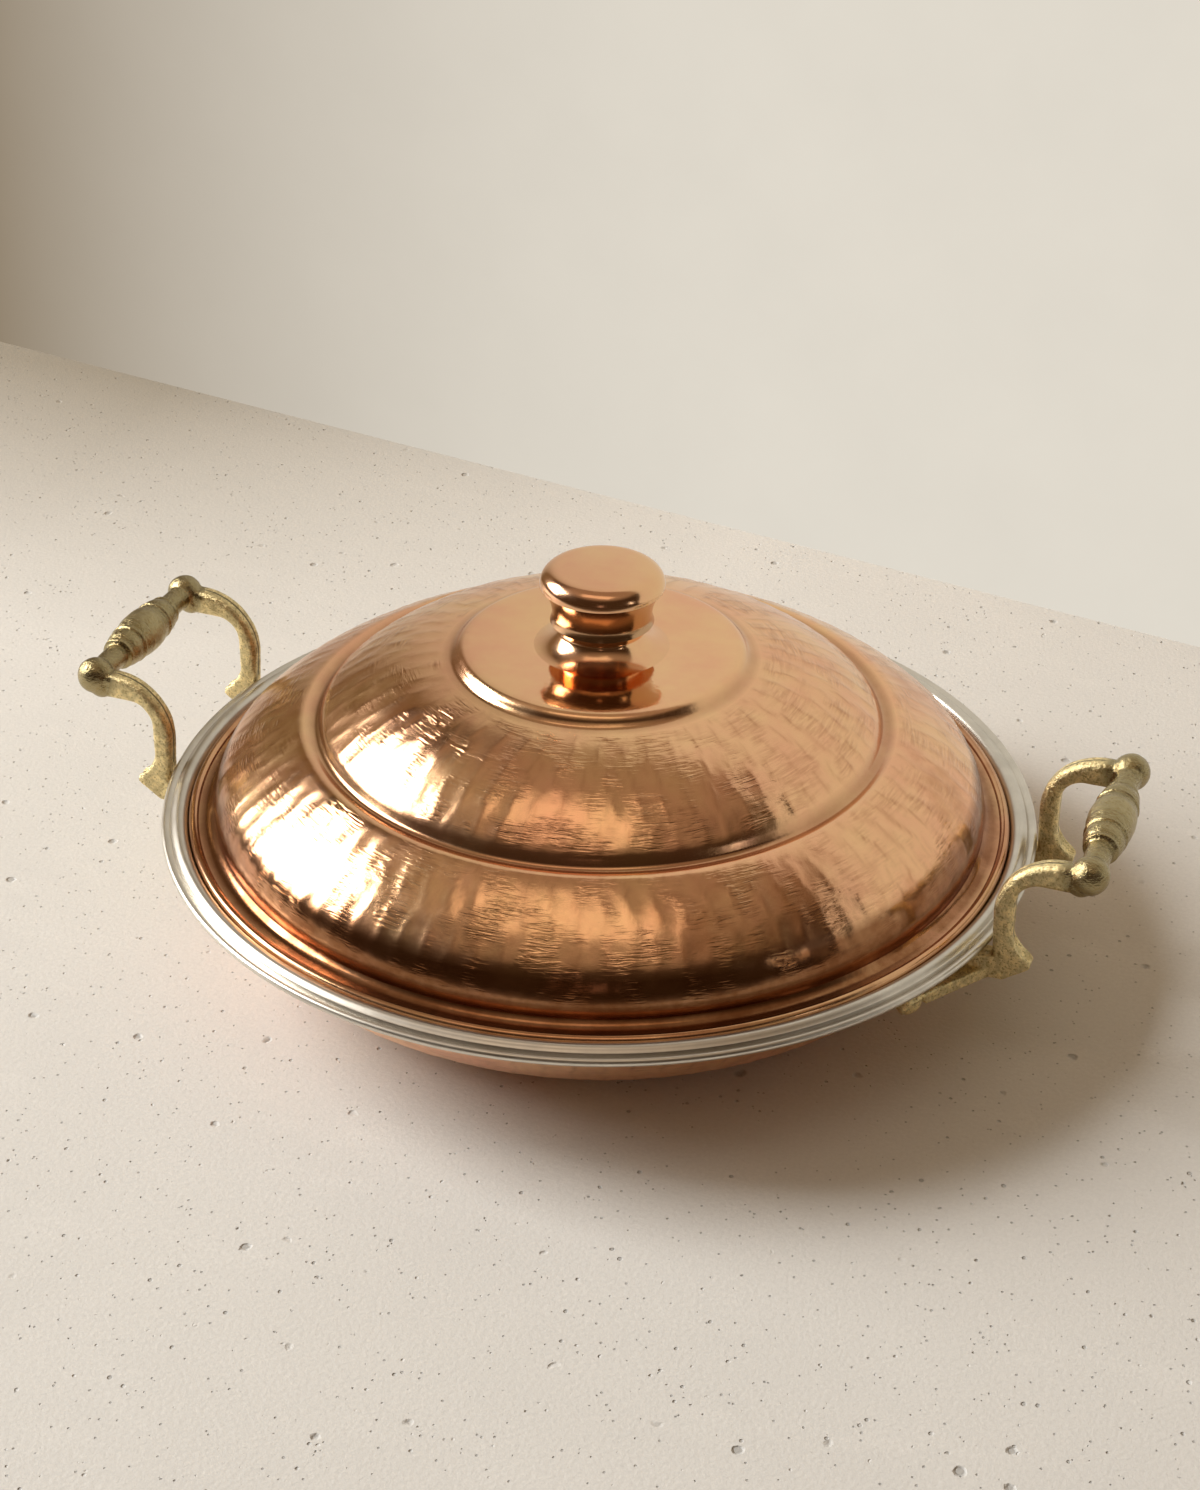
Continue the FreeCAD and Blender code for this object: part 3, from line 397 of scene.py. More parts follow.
class Finish:
    """A material whose nodes work in millimetres on Object coordinates."""

    def __init__(self, name):
        self.material = bpy.data.materials.new(name)
        self.material.use_nodes = True
        self.tree = self.material.node_tree
        self.shader = self.tree.nodes["Principled BSDF"]
        coordinates = self.tree.nodes.new("ShaderNodeTexCoord")
        self.place = self.scaled(coordinates.outputs["Object"], (1 / MM, 1 / MM, 1 / MM))

    def node(self, kind, **inputs):
        made = self.tree.nodes.new(kind)
        for name, value in inputs.items():
            self.feed(made.inputs[name.replace("_", " ")], value)
        return made

    def feed(self, socket, value):
        if isinstance(value, bpy.types.NodeSocket):
            self.tree.links.new(value, socket)
        else:
            socket.default_value = value

    def math(self, operation, *values):
        made = self.tree.nodes.new("ShaderNodeMath")
        made.operation = operation
        for socket, value in zip(made.inputs, values):
            self.feed(socket, value)
        return made.outputs[0]

    def scaled(self, vector, scale):
        made = self.tree.nodes.new("ShaderNodeVectorMath")
        made.operation = "MULTIPLY"
        self.feed(made.inputs[0], vector)
        made.inputs[1].default_value = scale
        return made.outputs[0]

    def axes(self):
        made = self.node("ShaderNodeSeparateXYZ", Vector=self.place)
        return made.outputs["X"], made.outputs["Y"], made.outputs["Z"]

    def grain(self, size, detail=3.0, roughness=0.5, place=None, distortion=0.0):
        """Noise whose blobs are about a size in mm across."""
        made = self.node("ShaderNodeTexNoise", Scale=1.0 / size, Detail=detail,
                         Roughness=roughness, Distortion=distortion)
        self.feed(made.inputs["Vector"], self.place if place is None else place)
        return made.outputs["Fac"]

    def level(self, value, low, high, least=0.0, most=1.0):
        """A value from low to high spread over least to most, and clamped."""
        made = self.node("ShaderNodeMapRange", From_Min=low, From_Max=high, To_Min=least,
                         To_Max=most)
        self.feed(made.inputs["Value"], value)
        return made.outputs["Result"]

    def mixed(self, share, first, second):
        made = self.tree.nodes.new("ShaderNodeMix")
        made.data_type = "RGBA"
        self.feed(made.inputs["Factor"], share)
        for socket, colour in ((made.inputs[6], first), (made.inputs[7], second)):
            self.feed(socket, colour if isinstance(colour, bpy.types.NodeSocket)
                      else (*colour, 1.0))
        return made.outputs[2]

    def bumped(self, height, depth, normal=None):
        """A bump whose full height is a depth in mm."""
        made = self.node("ShaderNodeBump", Strength=1.0, Distance=depth * MM)
        self.feed(made.inputs["Height"], height)
        if normal is not None:
            self.feed(made.inputs["Normal"], normal)
        return made.outputs["Normal"]

    def attribute(self, name):
        made = self.tree.nodes.new("ShaderNodeAttribute")
        made.attribute_name = name
        return made.outputs["Fac"]

    def along(self, slope):
        """Distance along a turned outline, roughly: the radius plus slope times the height."""
        across, deep, up = self.axes()
        radius = self.math("SQRT", self.math("ADD", self.math("MULTIPLY", across, across),
                                             self.math("MULTIPLY", deep, deep)))
        return self.math("ADD", radius, self.math("MULTIPLY", up, slope))

    def turned(self, slope, round_scale):
        """Coordinates that stretch noise round the axis, for marks left by turning."""
        across, deep, _ = self.axes()
        made = self.tree.nodes.new("ShaderNodeCombineXYZ")
        self.feed(made.inputs["X"], self.math("MULTIPLY", across, round_scale))
        self.feed(made.inputs["Y"], self.math("MULTIPLY", deep, round_scale))
        self.feed(made.inputs["Z"], self.along(slope))
        return made.outputs["Vector"]

    def dress(self, colour, roughness, normal, metallic=1.0):
        self.feed(self.shader.inputs["Base Color"], colour)
        self.feed(self.shader.inputs["Roughness"], roughness)
        self.feed(self.shader.inputs["Normal"], normal)
        self.shader.inputs["Metallic"].default_value = metallic
        return self.material


def shaded(colour, factor):
    return tuple(channel * factor for channel in colour)


# A lighter, pinker copy of a copper colour, painted lighter to stand for light.
def rosier(colour):
    return (min(1.0, colour[0] * 1.08), min(1.0, colour[1] * 1.12), min(1.0, colour[2] * 1.25))


def copper_finish(name, colour, slope, hammered, dullness=0.0, mirror=-2.0, tarnish=0.0):
    """Polished copper: warm drifts of colour, turning lines, fine specks, and painted shade in the
    hollows and between hammer marks.

    It is glossier within the mirror radius, and tarnished in blotches on the outer dome.
    """
    finish = Finish(name)
    golden = (colour[0], min(1.0, colour[1] * 1.08), colour[2] * 1.02)
    rosy = (colour[0] * 0.97, colour[1] * 0.9, colour[2] * 0.94)
    drift = finish.level(finish.grain(26, 4, 0.6), 0.35, 0.65)
    base = finish.mixed(drift, golden, rosy)
    lines = finish.grain(0.45, 2, 0.6, finish.turned(slope, 0.045))
    specks = finish.level(finish.grain(1.1, 5, 0.75), 0.66, 0.72)
    patches = finish.level(finish.grain(20, 3, 0.6), 0.50, 0.60)
    base = finish.mixed(finish.math("MULTIPLY", specks, patches), base, shaded(colour, 0.35))
    smudge = finish.grain(14, 5, 0.65)
    if hammered:
        share = finish.attribute("mark")
        chatter = finish.level(finish.grain(1.35, 2, 0.55, finish.turned(slope, 0.17), 0.5),
                               0.38, 0.62)
        gusts = finish.level(finish.grain(11, 2, 0.5), 0.45, 0.62)
        ripple = finish.math("MULTIPLY", finish.math("MULTIPLY", chatter, gusts), share)
        # Painted shade along the lines between hammer marks, with a darker tone along the chatter.
        chatter_and_rib_shade = finish.math("ADD", finish.math("MULTIPLY", ripple, 0.34),
                            finish.math("MULTIPLY", finish.attribute("line"), 0.62))
        base = finish.mixed(chatter_and_rib_shade, base, (colour[0] * 0.45, colour[1] * 0.34, colour[2] * 0.28))
        blotch = finish.math("MULTIPLY", finish.level(finish.grain(24, 4, 0.65), 0.48, 0.66),
                             finish.level(finish.along(0.0), 95.0, 105.0, 0.0, tarnish))
        base = finish.mixed(blotch, base, (colour[0] * 0.56, colour[1] * 0.42, colour[2] * 0.32))
        # Painted shade in the hollows, a little uneven.
        hollow_shade = finish.math("MULTIPLY", finish.attribute("hollow_shade"),
                            finish.level(smudge, 0.30, 0.60, 0.7, 1.0))
        base = finish.mixed(hollow_shade, base, (colour[0] * 0.25, colour[1] * 0.16, colour[2] * 0.10))
        normal = finish.bumped(ripple, 0.085)
        normal = finish.bumped(finish.grain(2.2, 2, 0.5), 0.03, normal)
        normal = finish.bumped(lines, 0.003, normal)
        roughness = finish.math("MULTIPLY", finish.level(smudge, 0.3, 0.7, 0.15, 0.25),
                                finish.level(finish.along(0.0), mirror, mirror + 2, 0.5, 1.0))
        roughness = finish.math("ADD", roughness, dullness)
    else:
        normal = finish.bumped(lines, 0.004)
        normal = finish.bumped(finish.grain(6, 2, 0.5), 0.012, normal)
        roughness = finish.level(smudge, 0.3, 0.7, 0.13, 0.21)
    return finish.dress(base, roughness, normal)


def tin_finish(name, colour, slope):
    """Wiped tin: pale, softly streaked round the pan, a little dull."""
    finish = Finish(name)
    streaks = finish.grain(0.9, 3, 0.6, finish.turned(slope, 0.06))
    cloud = finish.grain(11, 4, 0.6)
    base = finish.mixed(finish.level(cloud, 0.35, 0.65), colour, shaded(colour, 0.88))
    base = finish.mixed(finish.level(streaks, 0.56, 0.70), base, shaded(colour, 0.88))
    normal = finish.bumped(streaks, 0.004)
    normal = finish.bumped(finish.grain(3, 2, 0.5), 0.02, normal)
    return finish.dress(base, finish.level(cloud, 0.3, 0.7, 0.30, 0.40), normal)


def brass_finish(name, colour):
    """Cast brass: sandy grain, tarnish in the hollows, smoother on the grip, and painted darker
    there as shade.
    """
    finish = Finish(name)
    grip_wear_and_shade = finish.attribute("rubbed_and_shaded")
    sand = finish.level(finish.grain(0.8, 3, 0.65), 0.36, 0.64)
    lumps = finish.grain(2.6, 3, 0.55)
    patches = finish.level(lumps, 0.40, 0.62)
    base = finish.mixed(patches, shaded(colour, 0.70), shaded(colour, 1.04))
    # Painted shade: the grip is painted much darker, for its dark reflections.
    base = finish.mixed(grip_wear_and_shade, base, shaded(colour, 0.40))
    dark = (colour[0] * 0.34, colour[1] * 0.30, colour[2] * 0.22)
    pits = finish.level(sand, 0.0, 0.40, 0.75, 0.0)
    base = finish.mixed(pits, base, dark)
    _, deep, _ = finish.axes()
    seam = finish.math("ABSOLUTE", finish.math("SUBTRACT", finish.math("ABSOLUTE", deep),
                                               LEG_MIDDLE))
    line = finish.math("MULTIPLY", finish.level(seam, 0.18, 0.45, 1.0, 0.0),
                       finish.attribute("leg"))
    base = finish.mixed(line, base, shaded(colour, 0.18))
    normal = finish.bumped(lumps, 0.42)
    sandy = finish.level(grip_wear_and_shade, 0.0, 1.0, 1.0, 0.55)
    normal = finish.bumped(finish.math("MULTIPLY", sand, sandy), 0.14, normal)
    normal = finish.bumped(finish.level(line, 0.0, 1.0, 1.0, 0.0), 0.12, normal)
    roughness = finish.level(grip_wear_and_shade, 0.0, 1.0, 0.39, 0.27)
    return finish.dress(base, roughness, normal)


def steel_finish(name, colour):
    """Turned steel with fine rings."""
    finish = Finish(name)
    rings = finish.grain(0.3, 2, 0.5, finish.turned(1.0, 0.05))
    base = finish.mixed(finish.level(finish.grain(2, 3), 0.4, 0.6), colour,
                        shaded(colour, 0.8))
    return finish.dress(base, finish.level(rings, 0.3, 0.7, 0.28, 0.4),
                        finish.bumped(rings, 0.01))


def paint(node, material):
    """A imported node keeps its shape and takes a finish."""
    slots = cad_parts[node].data.materials
    slots.clear()
    slots.append(material)


# The pieces.

class COPPERPAN_OT_pan(bpy.types.Operator):
    """Spin the bowl again with a hammered copper outside and a tinned rim and inside"""

    bl_idname = "copperpan.pan"
    bl_label = "Pan"

    def execute(self, context):
        colours = context.scene.pan_finishes
        # The pan's outside is painted lighter and pinker than the lid, standing for the window
        # light it catches.
        copper = copper_finish("pan_copper", rosier(colours.copper), 1.0, True, 0.16)
        tin = tin_finish("pan_tin", colours.tin, 1.0)

        def is_copper(radius, height, normal):
            curved = np.hypot(radius - BASE_RADIUS, height - WALL_CURVE) > WALL_CURVE - SHEET / 2
            flat = height < SHEET / 2
            return np.where(radius > BASE_RADIUS, curved, flat) & (height < ROLL_UNDERSIDE)

        def marks_on(radius, height, normal):
            outside = is_copper(radius, height, normal)
            wall = band_share(height, 3.0, 36.0, 3.0)
            return np.where(outside, wall, 0.22 * band_share(height, 3.0, 33.0, 3.0))

        def pace(middle, outward):
            return 2.2 if outward[1] < 0 else 3.4

        # Painted shade under the rim's roll.
        def shade_on(radius, height, normal):
            return 0.35 * band_share(height, ROLL_UNDERSIDE - 4, ROLL_UNDERSIDE + 1, 3.0)

        pan = hammered_piece("pan_bowl", "pan_body", pace, 720, marks_on, is_copper, shade_on,
                             context.scene.pan_hammer, (copper, tin))
        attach(pan, "pan")
        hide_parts("pan_body")
        return {"FINISHED"}


class COPPERPAN_OT_lid(bpy.types.Operator):
    """Spin the lid again with its two hammered domes"""

    bl_idname = "copperpan.lid"
    bl_label = "Lid"

    def execute(self, context):
        colours = context.scene.pan_finishes
        copper = copper_finish("lid_copper", colours.copper, -1.0, True, 0.0, MIRROR_DISC,
                               0.5)
        tin = tin_finish("lid_tin", colours.tin, -1.0)

        def is_copper(radius, height, normal):
            return (normal[:, 1] > 0.02) | (radius > LID_BEAD - 1.6)

        def marks_on(radius, height, normal):
            bands = sum(band_share(radius, low, high) for low, high in HAMMERED_LID_BANDS)
            return bands * np.where(normal[:, 1] > 0.02, 1.0, 0.3)

        def pace(middle, outward):
            return 2.0 if outward[1] > 0.02 else 6.0

        # Painted shade in the lid's hollows, band by band.
        def shade_on(radius, height, normal):
            return sum(most * band_share(radius, low, high, 2.5)
                       for low, high, most in SHADED_LID_BANDS)

        lid = hammered_piece("lid_dome", "lid_shell", pace, 684, marks_on, is_copper, shade_on,
                             context.scene.pan_hammer, (copper, tin))
        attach(lid, "lid")
        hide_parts("lid_shell")
        return {"FINISHED"}


def thin_edge(mesh):
    """Bring the knob foot's outer edge down to the lid, so that it runs out thin."""
    seat = min(vert.co.z for vert in mesh.vertices)
    reach = FOOT_RADIUS - FOOT_TAPER_START
    for vert in mesh.vertices:
        share = max(0.0, (vert.co.xy.length / MM - FOOT_TAPER_START) / reach)
        if vert.co.z > seat + 0.05 * MM:
            vert.co.z -= FOOT_TAPER * MM * share**2


class COPPERPAN_OT_knob(bpy.types.Operator):
    """Finish the knob's spun pieces and the fittings inside it"""

    bl_idname = "copperpan.knob"
    bl_label = "Knob"

    def execute(self, context):
        colours = context.scene.pan_finishes
        bright = copper_finish("cap_copper", shaded(colours.copper, 0.95), -1.0, False)
        # The stem is a copy of the copper painted much darker, as painted shade for its dark
        # reflections.
        stem_shade_copper = copper_finish("stem_copper_shaded", shaded(colours.copper, 0.62), -1.0, False)
        for part in ("foot", "body", "cap"):
            turned, _ = spun_copy(f"turned_{part}", f"knob_{part}", lambda middle, outward: 0.9,
                                  240)
            if part == "foot":
                thin_edge(turned.data)
            turned.data.materials.append(stem_shade_copper if part == "body" else bright)
            finish_shading(turned.data)
            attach(turned, "lid")
            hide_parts(f"knob_{part}")
        brass = brass_finish("core_brass", colours.brass)
        paint("knob_core", brass)
        steel = steel_finish("knob_steel", colours.steel)
        for node in ("knob_washer", "knob_screw"):
            paint(node, steel)
        return {"FINISHED"}


class COPPERPAN_OT_wires(bpy.types.Operator):
    """Finish the wires that are rolled into the pan's rim and the lid's edge"""

    bl_idname = "copperpan.wires"
    bl_label = "Wires"

    def execute(self, context):
        steel = steel_finish("wire_steel", context.scene.pan_finishes.steel)
        for node in ("rim_wire", "lid_edge_wire"):
            paint(node, steel)
        return {"FINISHED"}


def cast_copy(name, node):
    """A copy of a node's mesh as one even skin with softened joins, as a casting has."""
    bm = bmesh.new()
    bm.from_mesh(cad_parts[node].data)
    bmesh.ops.remove_doubles(bm, verts=bm.verts, dist=1e-6)
    mesh = bpy.data.meshes.new(name)
    bm.to_mesh(mesh)
    bm.free()
    piece = bpy.data.objects.new(name, mesh)
    bpy.context.scene.collection.objects.link(piece)
    remesh = piece.modifiers.new("even_skin", "REMESH")
    remesh.mode = "VOXEL"
    remesh.voxel_size = 0.42 * MM
    smooth = piece.modifiers.new("soft_joins", "SMOOTH")
    smooth.factor = 0.5
    smooth.iterations = 5
    graph = bpy.context.evaluated_depsgraph_get()
    final = bpy.data.meshes.new_from_object(piece.evaluated_get(graph))
    piece.modifiers.clear()
    piece.data = final
    final.name = name
    bpy.data.meshes.remove(mesh)
    return piece


def scoop(place, normal, centre, facing, along, reach, depth):
    """How far each point sinks into an oval hollow on a face."""
    offset = place - centre
    run = offset @ along / reach[0]
    across = offset[:, 1] / reach[1]
    inside = np.clip(1 - run**2 - across**2, 0, 1)
    return depth * np.sqrt(inside) * (normal @ facing > 0.6)


def weathered_casting(name, node, turn):
    """The casting with scooped feet, an uneven cast surface, and a mark of its grip for wear and
    painted shade.
    """
    piece = cast_copy(name, node)
    mesh = piece.data
    place = np.empty(len(mesh.vertices) * 3, np.float32)
    mesh.vertices.foreach_get("co", place)
    place = place.reshape(-1, 3).astype(float) / MM
    place[:, :2] *= turn
    normal = np.empty(len(mesh.vertices) * 3, np.float32)
    mesh.vertices.foreach_get("normal", normal)
    normal = normal.reshape(-1, 3).astype(float)
    normal[:, :2] *= turn
    slope = math.radians(48)
    facing = np.array((math.sin(slope), 0, math.cos(slope)))
    along = np.array((math.cos(slope), 0, -math.sin(slope)))
    sink = np.zeros(len(place))
    for end in (-1, 1):
        centre = np.array((FOOT_FACE.x, LEG_MIDDLE * end, FOOT_FACE.z))
        sink += scoop(place, normal, centre, facing, along, (4.6, 2.9), 1.4)
    lumps = np.array([noise.noise(Vector(spot) / 3.1 + Vector((3, turn * 5, 1)))
                      for spot in place])
    sink += 0.10 * lumps
    place -= normal * sink[:, None]
    to_axis = np.hypot(place[:, 0] - GRIP_AXIS, place[:, 2] - GRIP_HEIGHT)
    # The grip: smooth from use, and painted darker as shade in its finish.
    grip_wear_and_shade = np.clip((9.5 - to_axis) / 2.5, 0, 1)
    leg = np.clip((GRIP_AXIS - 7 - place[:, 0]) / 2, 0, 1) * (place[:, 2] > 43)
    leg *= np.abs(normal[:, 1]) < 0.75
    place[:, :2] *= turn
    mesh.vertices.foreach_set("co", (place * MM).astype(np.float32).ravel())
    for label, values in (("rubbed_and_shaded", grip_wear_and_shade), ("leg", leg)):
        layer = mesh.attributes.new(label, "FLOAT", "POINT")
        layer.data.foreach_set("value", values.astype(np.float32))
    finish_shading(mesh, math.pi)
    return piece


class COPPERPAN_OT_handles(bpy.types.Operator):
    """Make the two castings with scooped feet, cast grain, wear and painted shade on the grips"""

    bl_idname = "copperpan.handles"
    bl_label = "Handles"

    def execute(self, context):
        brass = brass_finish("handle_brass", context.scene.pan_finishes.brass)
        for side, turn in (("right", 1), ("left", -1)):
            casting = weathered_casting(f"{side}_casting", f"{side}_handle", turn)
            casting.data.materials.clear()
            casting.data.materials.append(brass)
            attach(casting, "pan")
            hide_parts(f"{side}_handle")
        return {"FINISHED"}


class COPPERPAN_OT_rivets(bpy.types.Operator):
    """Finish the six brass rivets"""

    bl_idname = "copperpan.rivets"
    bl_label = "Rivets"

    def execute(self, context):
        brass = brass_finish("rivet_brass", context.scene.pan_finishes.brass)
        for side in ("right", "left"):
            for spot in ("front", "middle", "rear"):
                paint(f"{side}_{spot}_rivet", brass)
        return {"FINISHED"}


# The stage.

def stone_finish(name, colour):
    """Pale honed stone: soft clouds, small pits and specks, a painted shadow in the corner by the
    wall, and a painted dark front edge.

    Polished metal sees the floor end in a painted dark reflection of the room, a little in front
    of what the camera takes in.
    """
    finish = Finish(name)
    clouds = finish.grain(85, 5, 0.6, distortion=0.6)
    veins = finish.grain(24, 6, 0.7, finish.scaled(finish.place, (0.35, 1.0, 1.0)))
    base = finish.mixed(finish.level(clouds, 0.3, 0.7), colour, shaded(colour, 0.94))
    base = finish.mixed(finish.level(veins, 0.55, 0.75), base, shaded(colour, 1.05))
    bent = finish.grain(5, 3, 0.6)
    pit = None
    for spacing, reach, rarity in ((15.0, 0.15, 0.54), (6.0, 0.15, 0.50), (2.6, 0.19, 0.52)):
        cells = finish.node("ShaderNodeTexVoronoi", Scale=1 / spacing, Randomness=1.0)
        finish.feed(cells.inputs["Vector"], finish.place)
        rare = finish.level(finish.grain(spacing * 1.3, 2, 0.5), rarity, rarity + 0.05)
        distance = finish.math("ADD", cells.outputs["Distance"],
                               finish.math("MULTIPLY", bent, 0.16))
        hole = finish.math("MULTIPLY", finish.level(distance, reach, reach + 0.05, 1.0, 0.0),
                           rare)
        pit = hole if pit is None else finish.math("MAXIMUM", pit, hole)
    base = finish.mixed(finish.level(finish.grain(1.3, 3, 0.7), 0.35, 0.65, 0.0, 0.8), base,
                        shaded(colour, 0.90))
    base = finish.mixed(finish.math("MULTIPLY", pit, 0.6), base, shaded(colour, 0.40))
    path = finish.tree.nodes.new("ShaderNodeLightPath")
    across, deep, _ = finish.axes()
    # Painted shadow on the floor in its left corner by the wall.
    corner = finish.math("MULTIPLY", finish.level(deep, 100.0, 330.0),
                         finish.level(across, -330.0, -40.0, 1.0, 0.0))
    base = finish.mixed(corner, base, (colour[0] * 0.42, colour[1] * 0.38, colour[2] * 0.32))
    # Painted dark reflection: glossy rays see the floor dark beyond a line in front.
    forward = finish.math("SUBTRACT", finish.math("MULTIPLY", across, 0.34),
                          finish.math("MULTIPLY", deep, 0.94))
    beyond = finish.math("MULTIPLY", finish.level(forward, 356.0, 362.0),
                         path.outputs["Is Glossy Ray"])
    base = finish.mixed(beyond, base, (0.09, 0.062, 0.04))
    height = finish.math("SUBTRACT", finish.math("MULTIPLY", finish.grain(1.5, 4, 0.6), 0.3), pit)
    return finish.dress(base, 0.55, finish.bumped(height, 0.5), 0.0)


def plaster_finish(name, colour):
    """Pale plaster, seen at its own painted brightness for camera and glossy rays, that falls into
    painted shade towards its left end.
    """
    finish = Finish(name)
    across, _, up = finish.axes()
    from_left = finish.math("ADD", across, finish.math("MULTIPLY", up, 0.12))
    reach = finish.level(from_left, -420.0, 60.0, 1.0, 0.0)
    shade = finish.math("POWER", reach, 2.0)
    patches = finish.grain(60, 5, 0.6)
    plaster = finish.mixed(finish.level(patches, 0.3, 0.7), colour, shaded(colour, 0.97))
    dark = (colour[0] * 0.25, colour[1] * 0.18, colour[2] * 0.10)
    seen_colour = finish.mixed(shade, plaster, dark)
    path = finish.tree.nodes.new("ShaderNodeLightPath")
    seen = finish.math("MAXIMUM", finish.math("MAXIMUM", path.outputs["Is Camera Ray"],
                                              path.outputs["Is Glossy Ray"]),
                       path.outputs["Is Transmission Ray"])
    finish.shader.inputs["Specular IOR Level"].default_value = 0.0
    # Painted light: the wall glows with this colour for camera and glossy rays.
    finish.feed(finish.shader.inputs["Emission Color"], seen_colour)
    finish.feed(finish.shader.inputs["Emission Strength"], seen)
    lit = (colour[0] * 0.80, colour[1] * 0.64, colour[2] * 0.46)
    base = finish.mixed(seen, lit, (0.0, 0.0, 0.0))
    finish.dress(base, 0.8, finish.bumped(finish.grain(4, 4, 0.6), 0.15), 0.0)
    clear_behind(finish.tree, path.outputs["Is Camera Ray"])
    return finish.material


def clear_behind(tree, camera_ray):
    """Leave a sheet out of pictures taken from behind it, which would show nothing else."""
    side = tree.nodes.new("ShaderNodeNewGeometry")
    behind = tree.nodes.new("ShaderNodeMath")
    behind.operation = "MULTIPLY"
    tree.links.new(side.outputs["Backfacing"], behind.inputs[0])
    tree.links.new(camera_ray, behind.inputs[1])
    blend = tree.nodes.new("ShaderNodeMixShader")
    clear = tree.nodes.new("ShaderNodeBsdfTransparent")
    tree.links.new(behind.outputs[0], blend.inputs["Fac"])
    tree.links.new(tree.nodes["Principled BSDF"].outputs[0], blend.inputs[1])
    tree.links.new(clear.outputs[0], blend.inputs[2])
    tree.links.new(blend.outputs[0], tree.nodes["Material Output"].inputs["Surface"])


def flat_sheet(name, width, depth, finish):
    bm = bmesh.new()
    bmesh.ops.create_grid(bm, x_segments=2, y_segments=2, size=0.5)
    bmesh.ops.scale(bm, vec=(width, depth, 1.0), verts=bm.verts)
    mesh = bpy.data.meshes.new(name)
    bm.to_mesh(mesh)
    bm.free()
    mesh.materials.append(finish)
    sheet = bpy.data.objects.new(name, mesh)
    bpy.context.scene.collection.objects.link(sheet)
    return sheet


def soft_lamp(name, azimuth, elevation, distance, size, power, colour):
    """A rectangular lamp that faces the pan from a direction, in degrees from +Y to +X."""
    around, up = math.radians(azimuth), math.radians(elevation)
    towards = Vector((math.sin(around) * math.cos(up), math.cos(around) * math.cos(up),
                      math.sin(up)))
    lamp = bpy.data.lights.new(name, "AREA")
    lamp.shape = "RECTANGLE"
    lamp.size, lamp.size_y = size
    lamp.energy = power
    lamp.color = colour
    holder = bpy.data.objects.new(name, lamp)
    holder.location = towards * distance + Vector((0, 0, 0.05))
    holder.rotation_euler = (-towards).to_track_quat("-Z", "Y").to_euler()
    bpy.context.scene.collection.objects.link(holder)


def room_light(world):
    """A plain warm surround: pale above, dim towards the open sides of the room."""
    world.use_nodes = True
    tree = world.node_tree
    coordinates = tree.nodes.new("ShaderNodeTexCoord")
    parts = tree.nodes.new("ShaderNodeSeparateXYZ")
    tree.links.new(coordinates.outputs["Generated"], parts.inputs[0])
    height = tree.nodes.new("ShaderNodeMapRange")
    height.interpolation_type = "SMOOTHSTEP"
    height.inputs["From Min"].default_value = math.sin(math.radians(44))
    height.inputs["From Max"].default_value = math.sin(math.radians(64))
    tree.links.new(parts.outputs["Z"], height.inputs["Value"])
    blend = tree.nodes.new("ShaderNodeMix")
    blend.data_type = "RGBA"
    blend.inputs[6].default_value = (0.055, 0.033, 0.017, 1.0)
    blend.inputs[7].default_value = (0.335, 0.247, 0.170, 1.0)
    tree.links.new(height.outputs["Result"], blend.inputs["Factor"])
    tree.links.new(blend.outputs[2], tree.nodes["Background"].inputs["Color"])


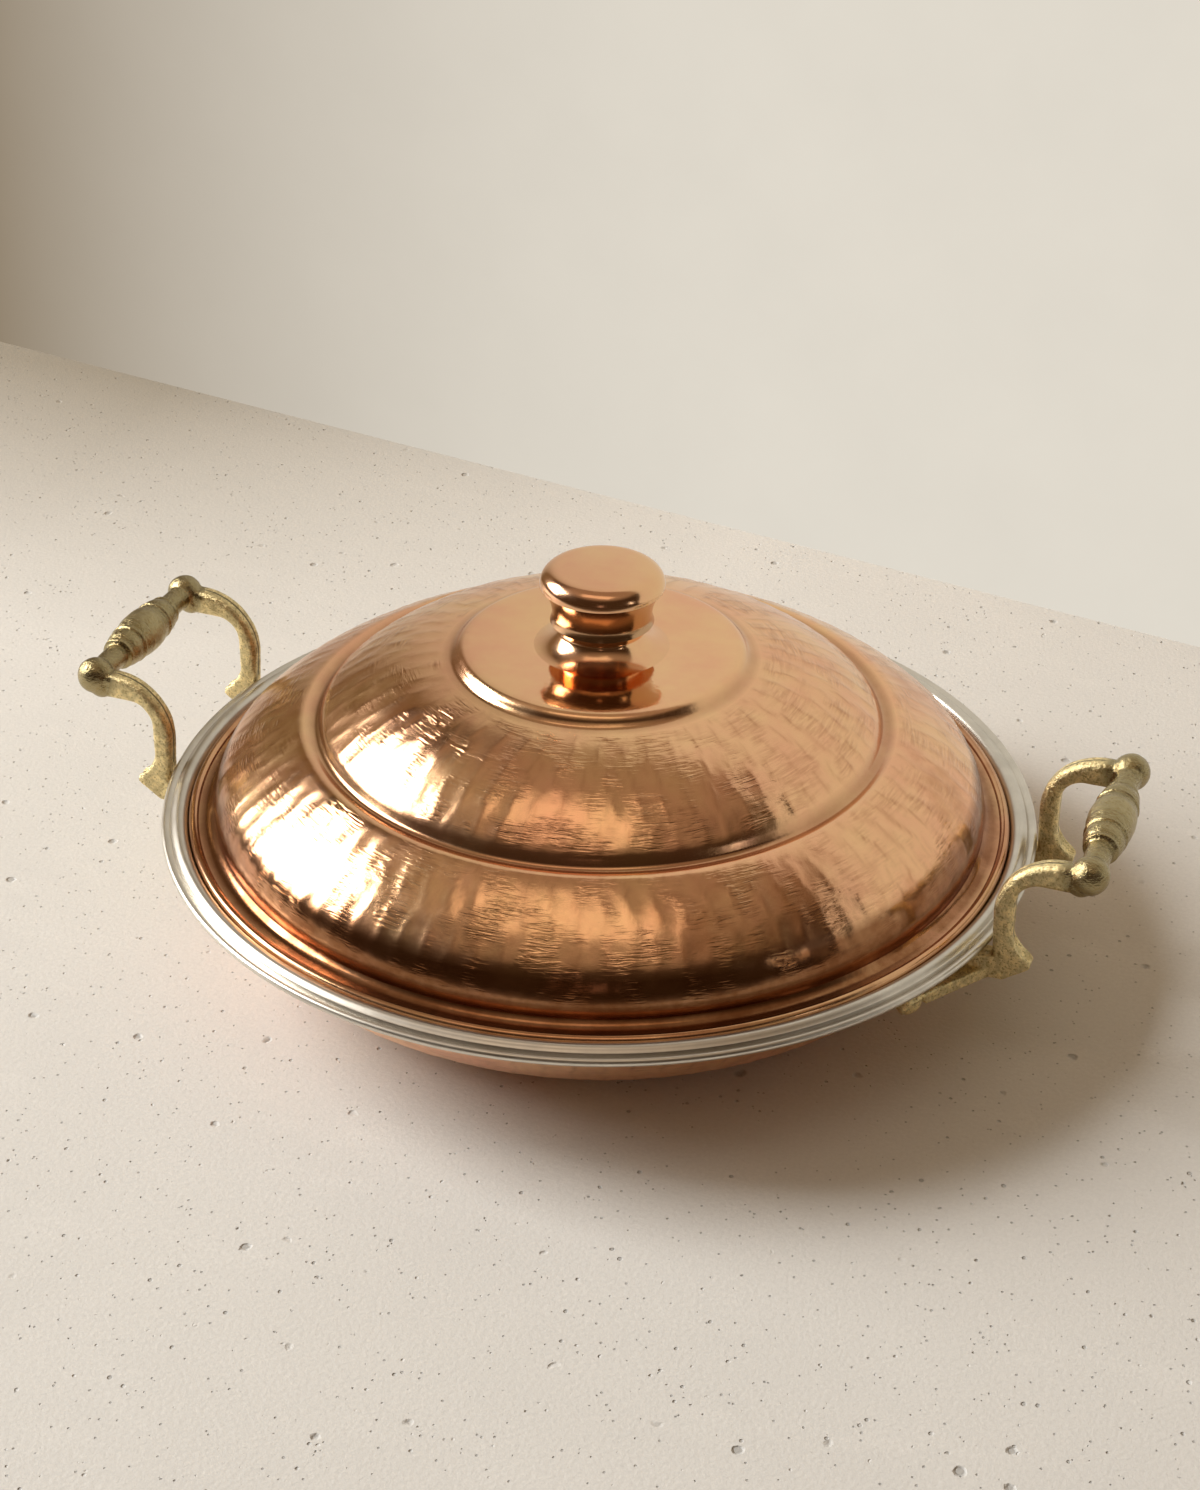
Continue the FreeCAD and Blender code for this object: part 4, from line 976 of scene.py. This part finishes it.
class COPPERPAN_OT_stage(bpy.types.Operator):
    """Lay the stone floor, stand the wall behind it, and place the light and the camera"""

    bl_idname = "copperpan.stage"
    bl_label = "Stage"

    def execute(self, context):
        scene = context.scene
        stage = scene.pan_stage
        flat_sheet("stone_floor", 6.0, 6.0, stone_finish("stone", stage.floor))
        wall = flat_sheet("plaster_wall", 6.0, 0.7, plaster_finish("plaster", stage.wall))
        wall.rotation_euler = (math.radians(90), 0, math.radians(-9.1))
        wall.location = (-0.0596, 0.2853, 0.35)
        soft_lamp("window", -93, 30, 4.0, (2.1, 2.2), stage.window_power, (1.0, 0.985, 0.96))
        soft_lamp("ceiling_window", 182, 75, 2.07, (1.35, 0.62), 1.9, (1.0, 0.80, 0.62))
        soft_lamp("doorway", 163, 18, 2.0, (0.22, 0.45), 0.16, (1.0, 0.72, 0.62))
        soft_lamp("far_window", 108, 20, 1.0, (0.09, 0.22), 0.12, (1.0, 0.97, 0.92))
        world = bpy.data.worlds.new("room")
        room_light(world)
        scene.world = world
        camera = bpy.data.cameras.new("camera")
        camera.lens = 67.65
        camera.sensor_width = 36.0
        camera.sensor_fit = "AUTO"
        holder = bpy.data.objects.new("camera", camera)
        holder.location = (0.25918, -0.72168, 0.51813)
        holder.rotation_euler = [math.radians(angle) for angle in (59.2279, -0.6985, 20.1787)]
        scene.collection.objects.link(holder)
        scene.camera = holder
        scene.view_settings.view_transform = "Standard"
        return {"FINISHED"}


STEPS = (COPPERPAN_OT_stage, COPPERPAN_OT_pan, COPPERPAN_OT_lid, COPPERPAN_OT_knob,
         COPPERPAN_OT_wires, COPPERPAN_OT_handles, COPPERPAN_OT_rivets)


class COPPERPAN_PT_panel(bpy.types.Panel):
    """The steps that dress the pan, in order"""

    bl_idname = "COPPERPAN_PT_panel"
    bl_label = "Copper Pan"
    bl_space_type = "VIEW_3D"
    bl_region_type = "UI"
    bl_category = "Copper Pan"

    def draw(self, context):
        layout = self.layout
        for settings in (context.scene.pan_hammer, context.scene.pan_finishes,
                         context.scene.pan_stage):
            box = layout.box()
            for name in settings.__annotations__:
                box.prop(settings, name)
        for step in STEPS:
            layout.operator(step.bl_idname)


CLASSES = (HammerSettings, FinishSettings, StageSettings, *STEPS, COPPERPAN_PT_panel)


def register():
    for cls in CLASSES:
        bpy.utils.register_class(cls)
    bpy.types.Scene.pan_hammer = bpy.props.PointerProperty(type=HammerSettings)
    bpy.types.Scene.pan_finishes = bpy.props.PointerProperty(type=FinishSettings)
    bpy.types.Scene.pan_stage = bpy.props.PointerProperty(type=StageSettings)


def unregister():
    del bpy.types.Scene.pan_stage
    del bpy.types.Scene.pan_finishes
    del bpy.types.Scene.pan_hammer
    for cls in reversed(CLASSES):
        bpy.utils.unregister_class(cls)


def main():
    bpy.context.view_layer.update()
    register()
    bpy.ops.copperpan.stage()
    bpy.ops.copperpan.pan()
    bpy.ops.copperpan.lid()
    bpy.ops.copperpan.knob()
    bpy.ops.copperpan.wires()
    bpy.ops.copperpan.handles()
    bpy.ops.copperpan.rivets()
    bpy.context.view_layer.update()


if __name__ == "__main__":
    main()
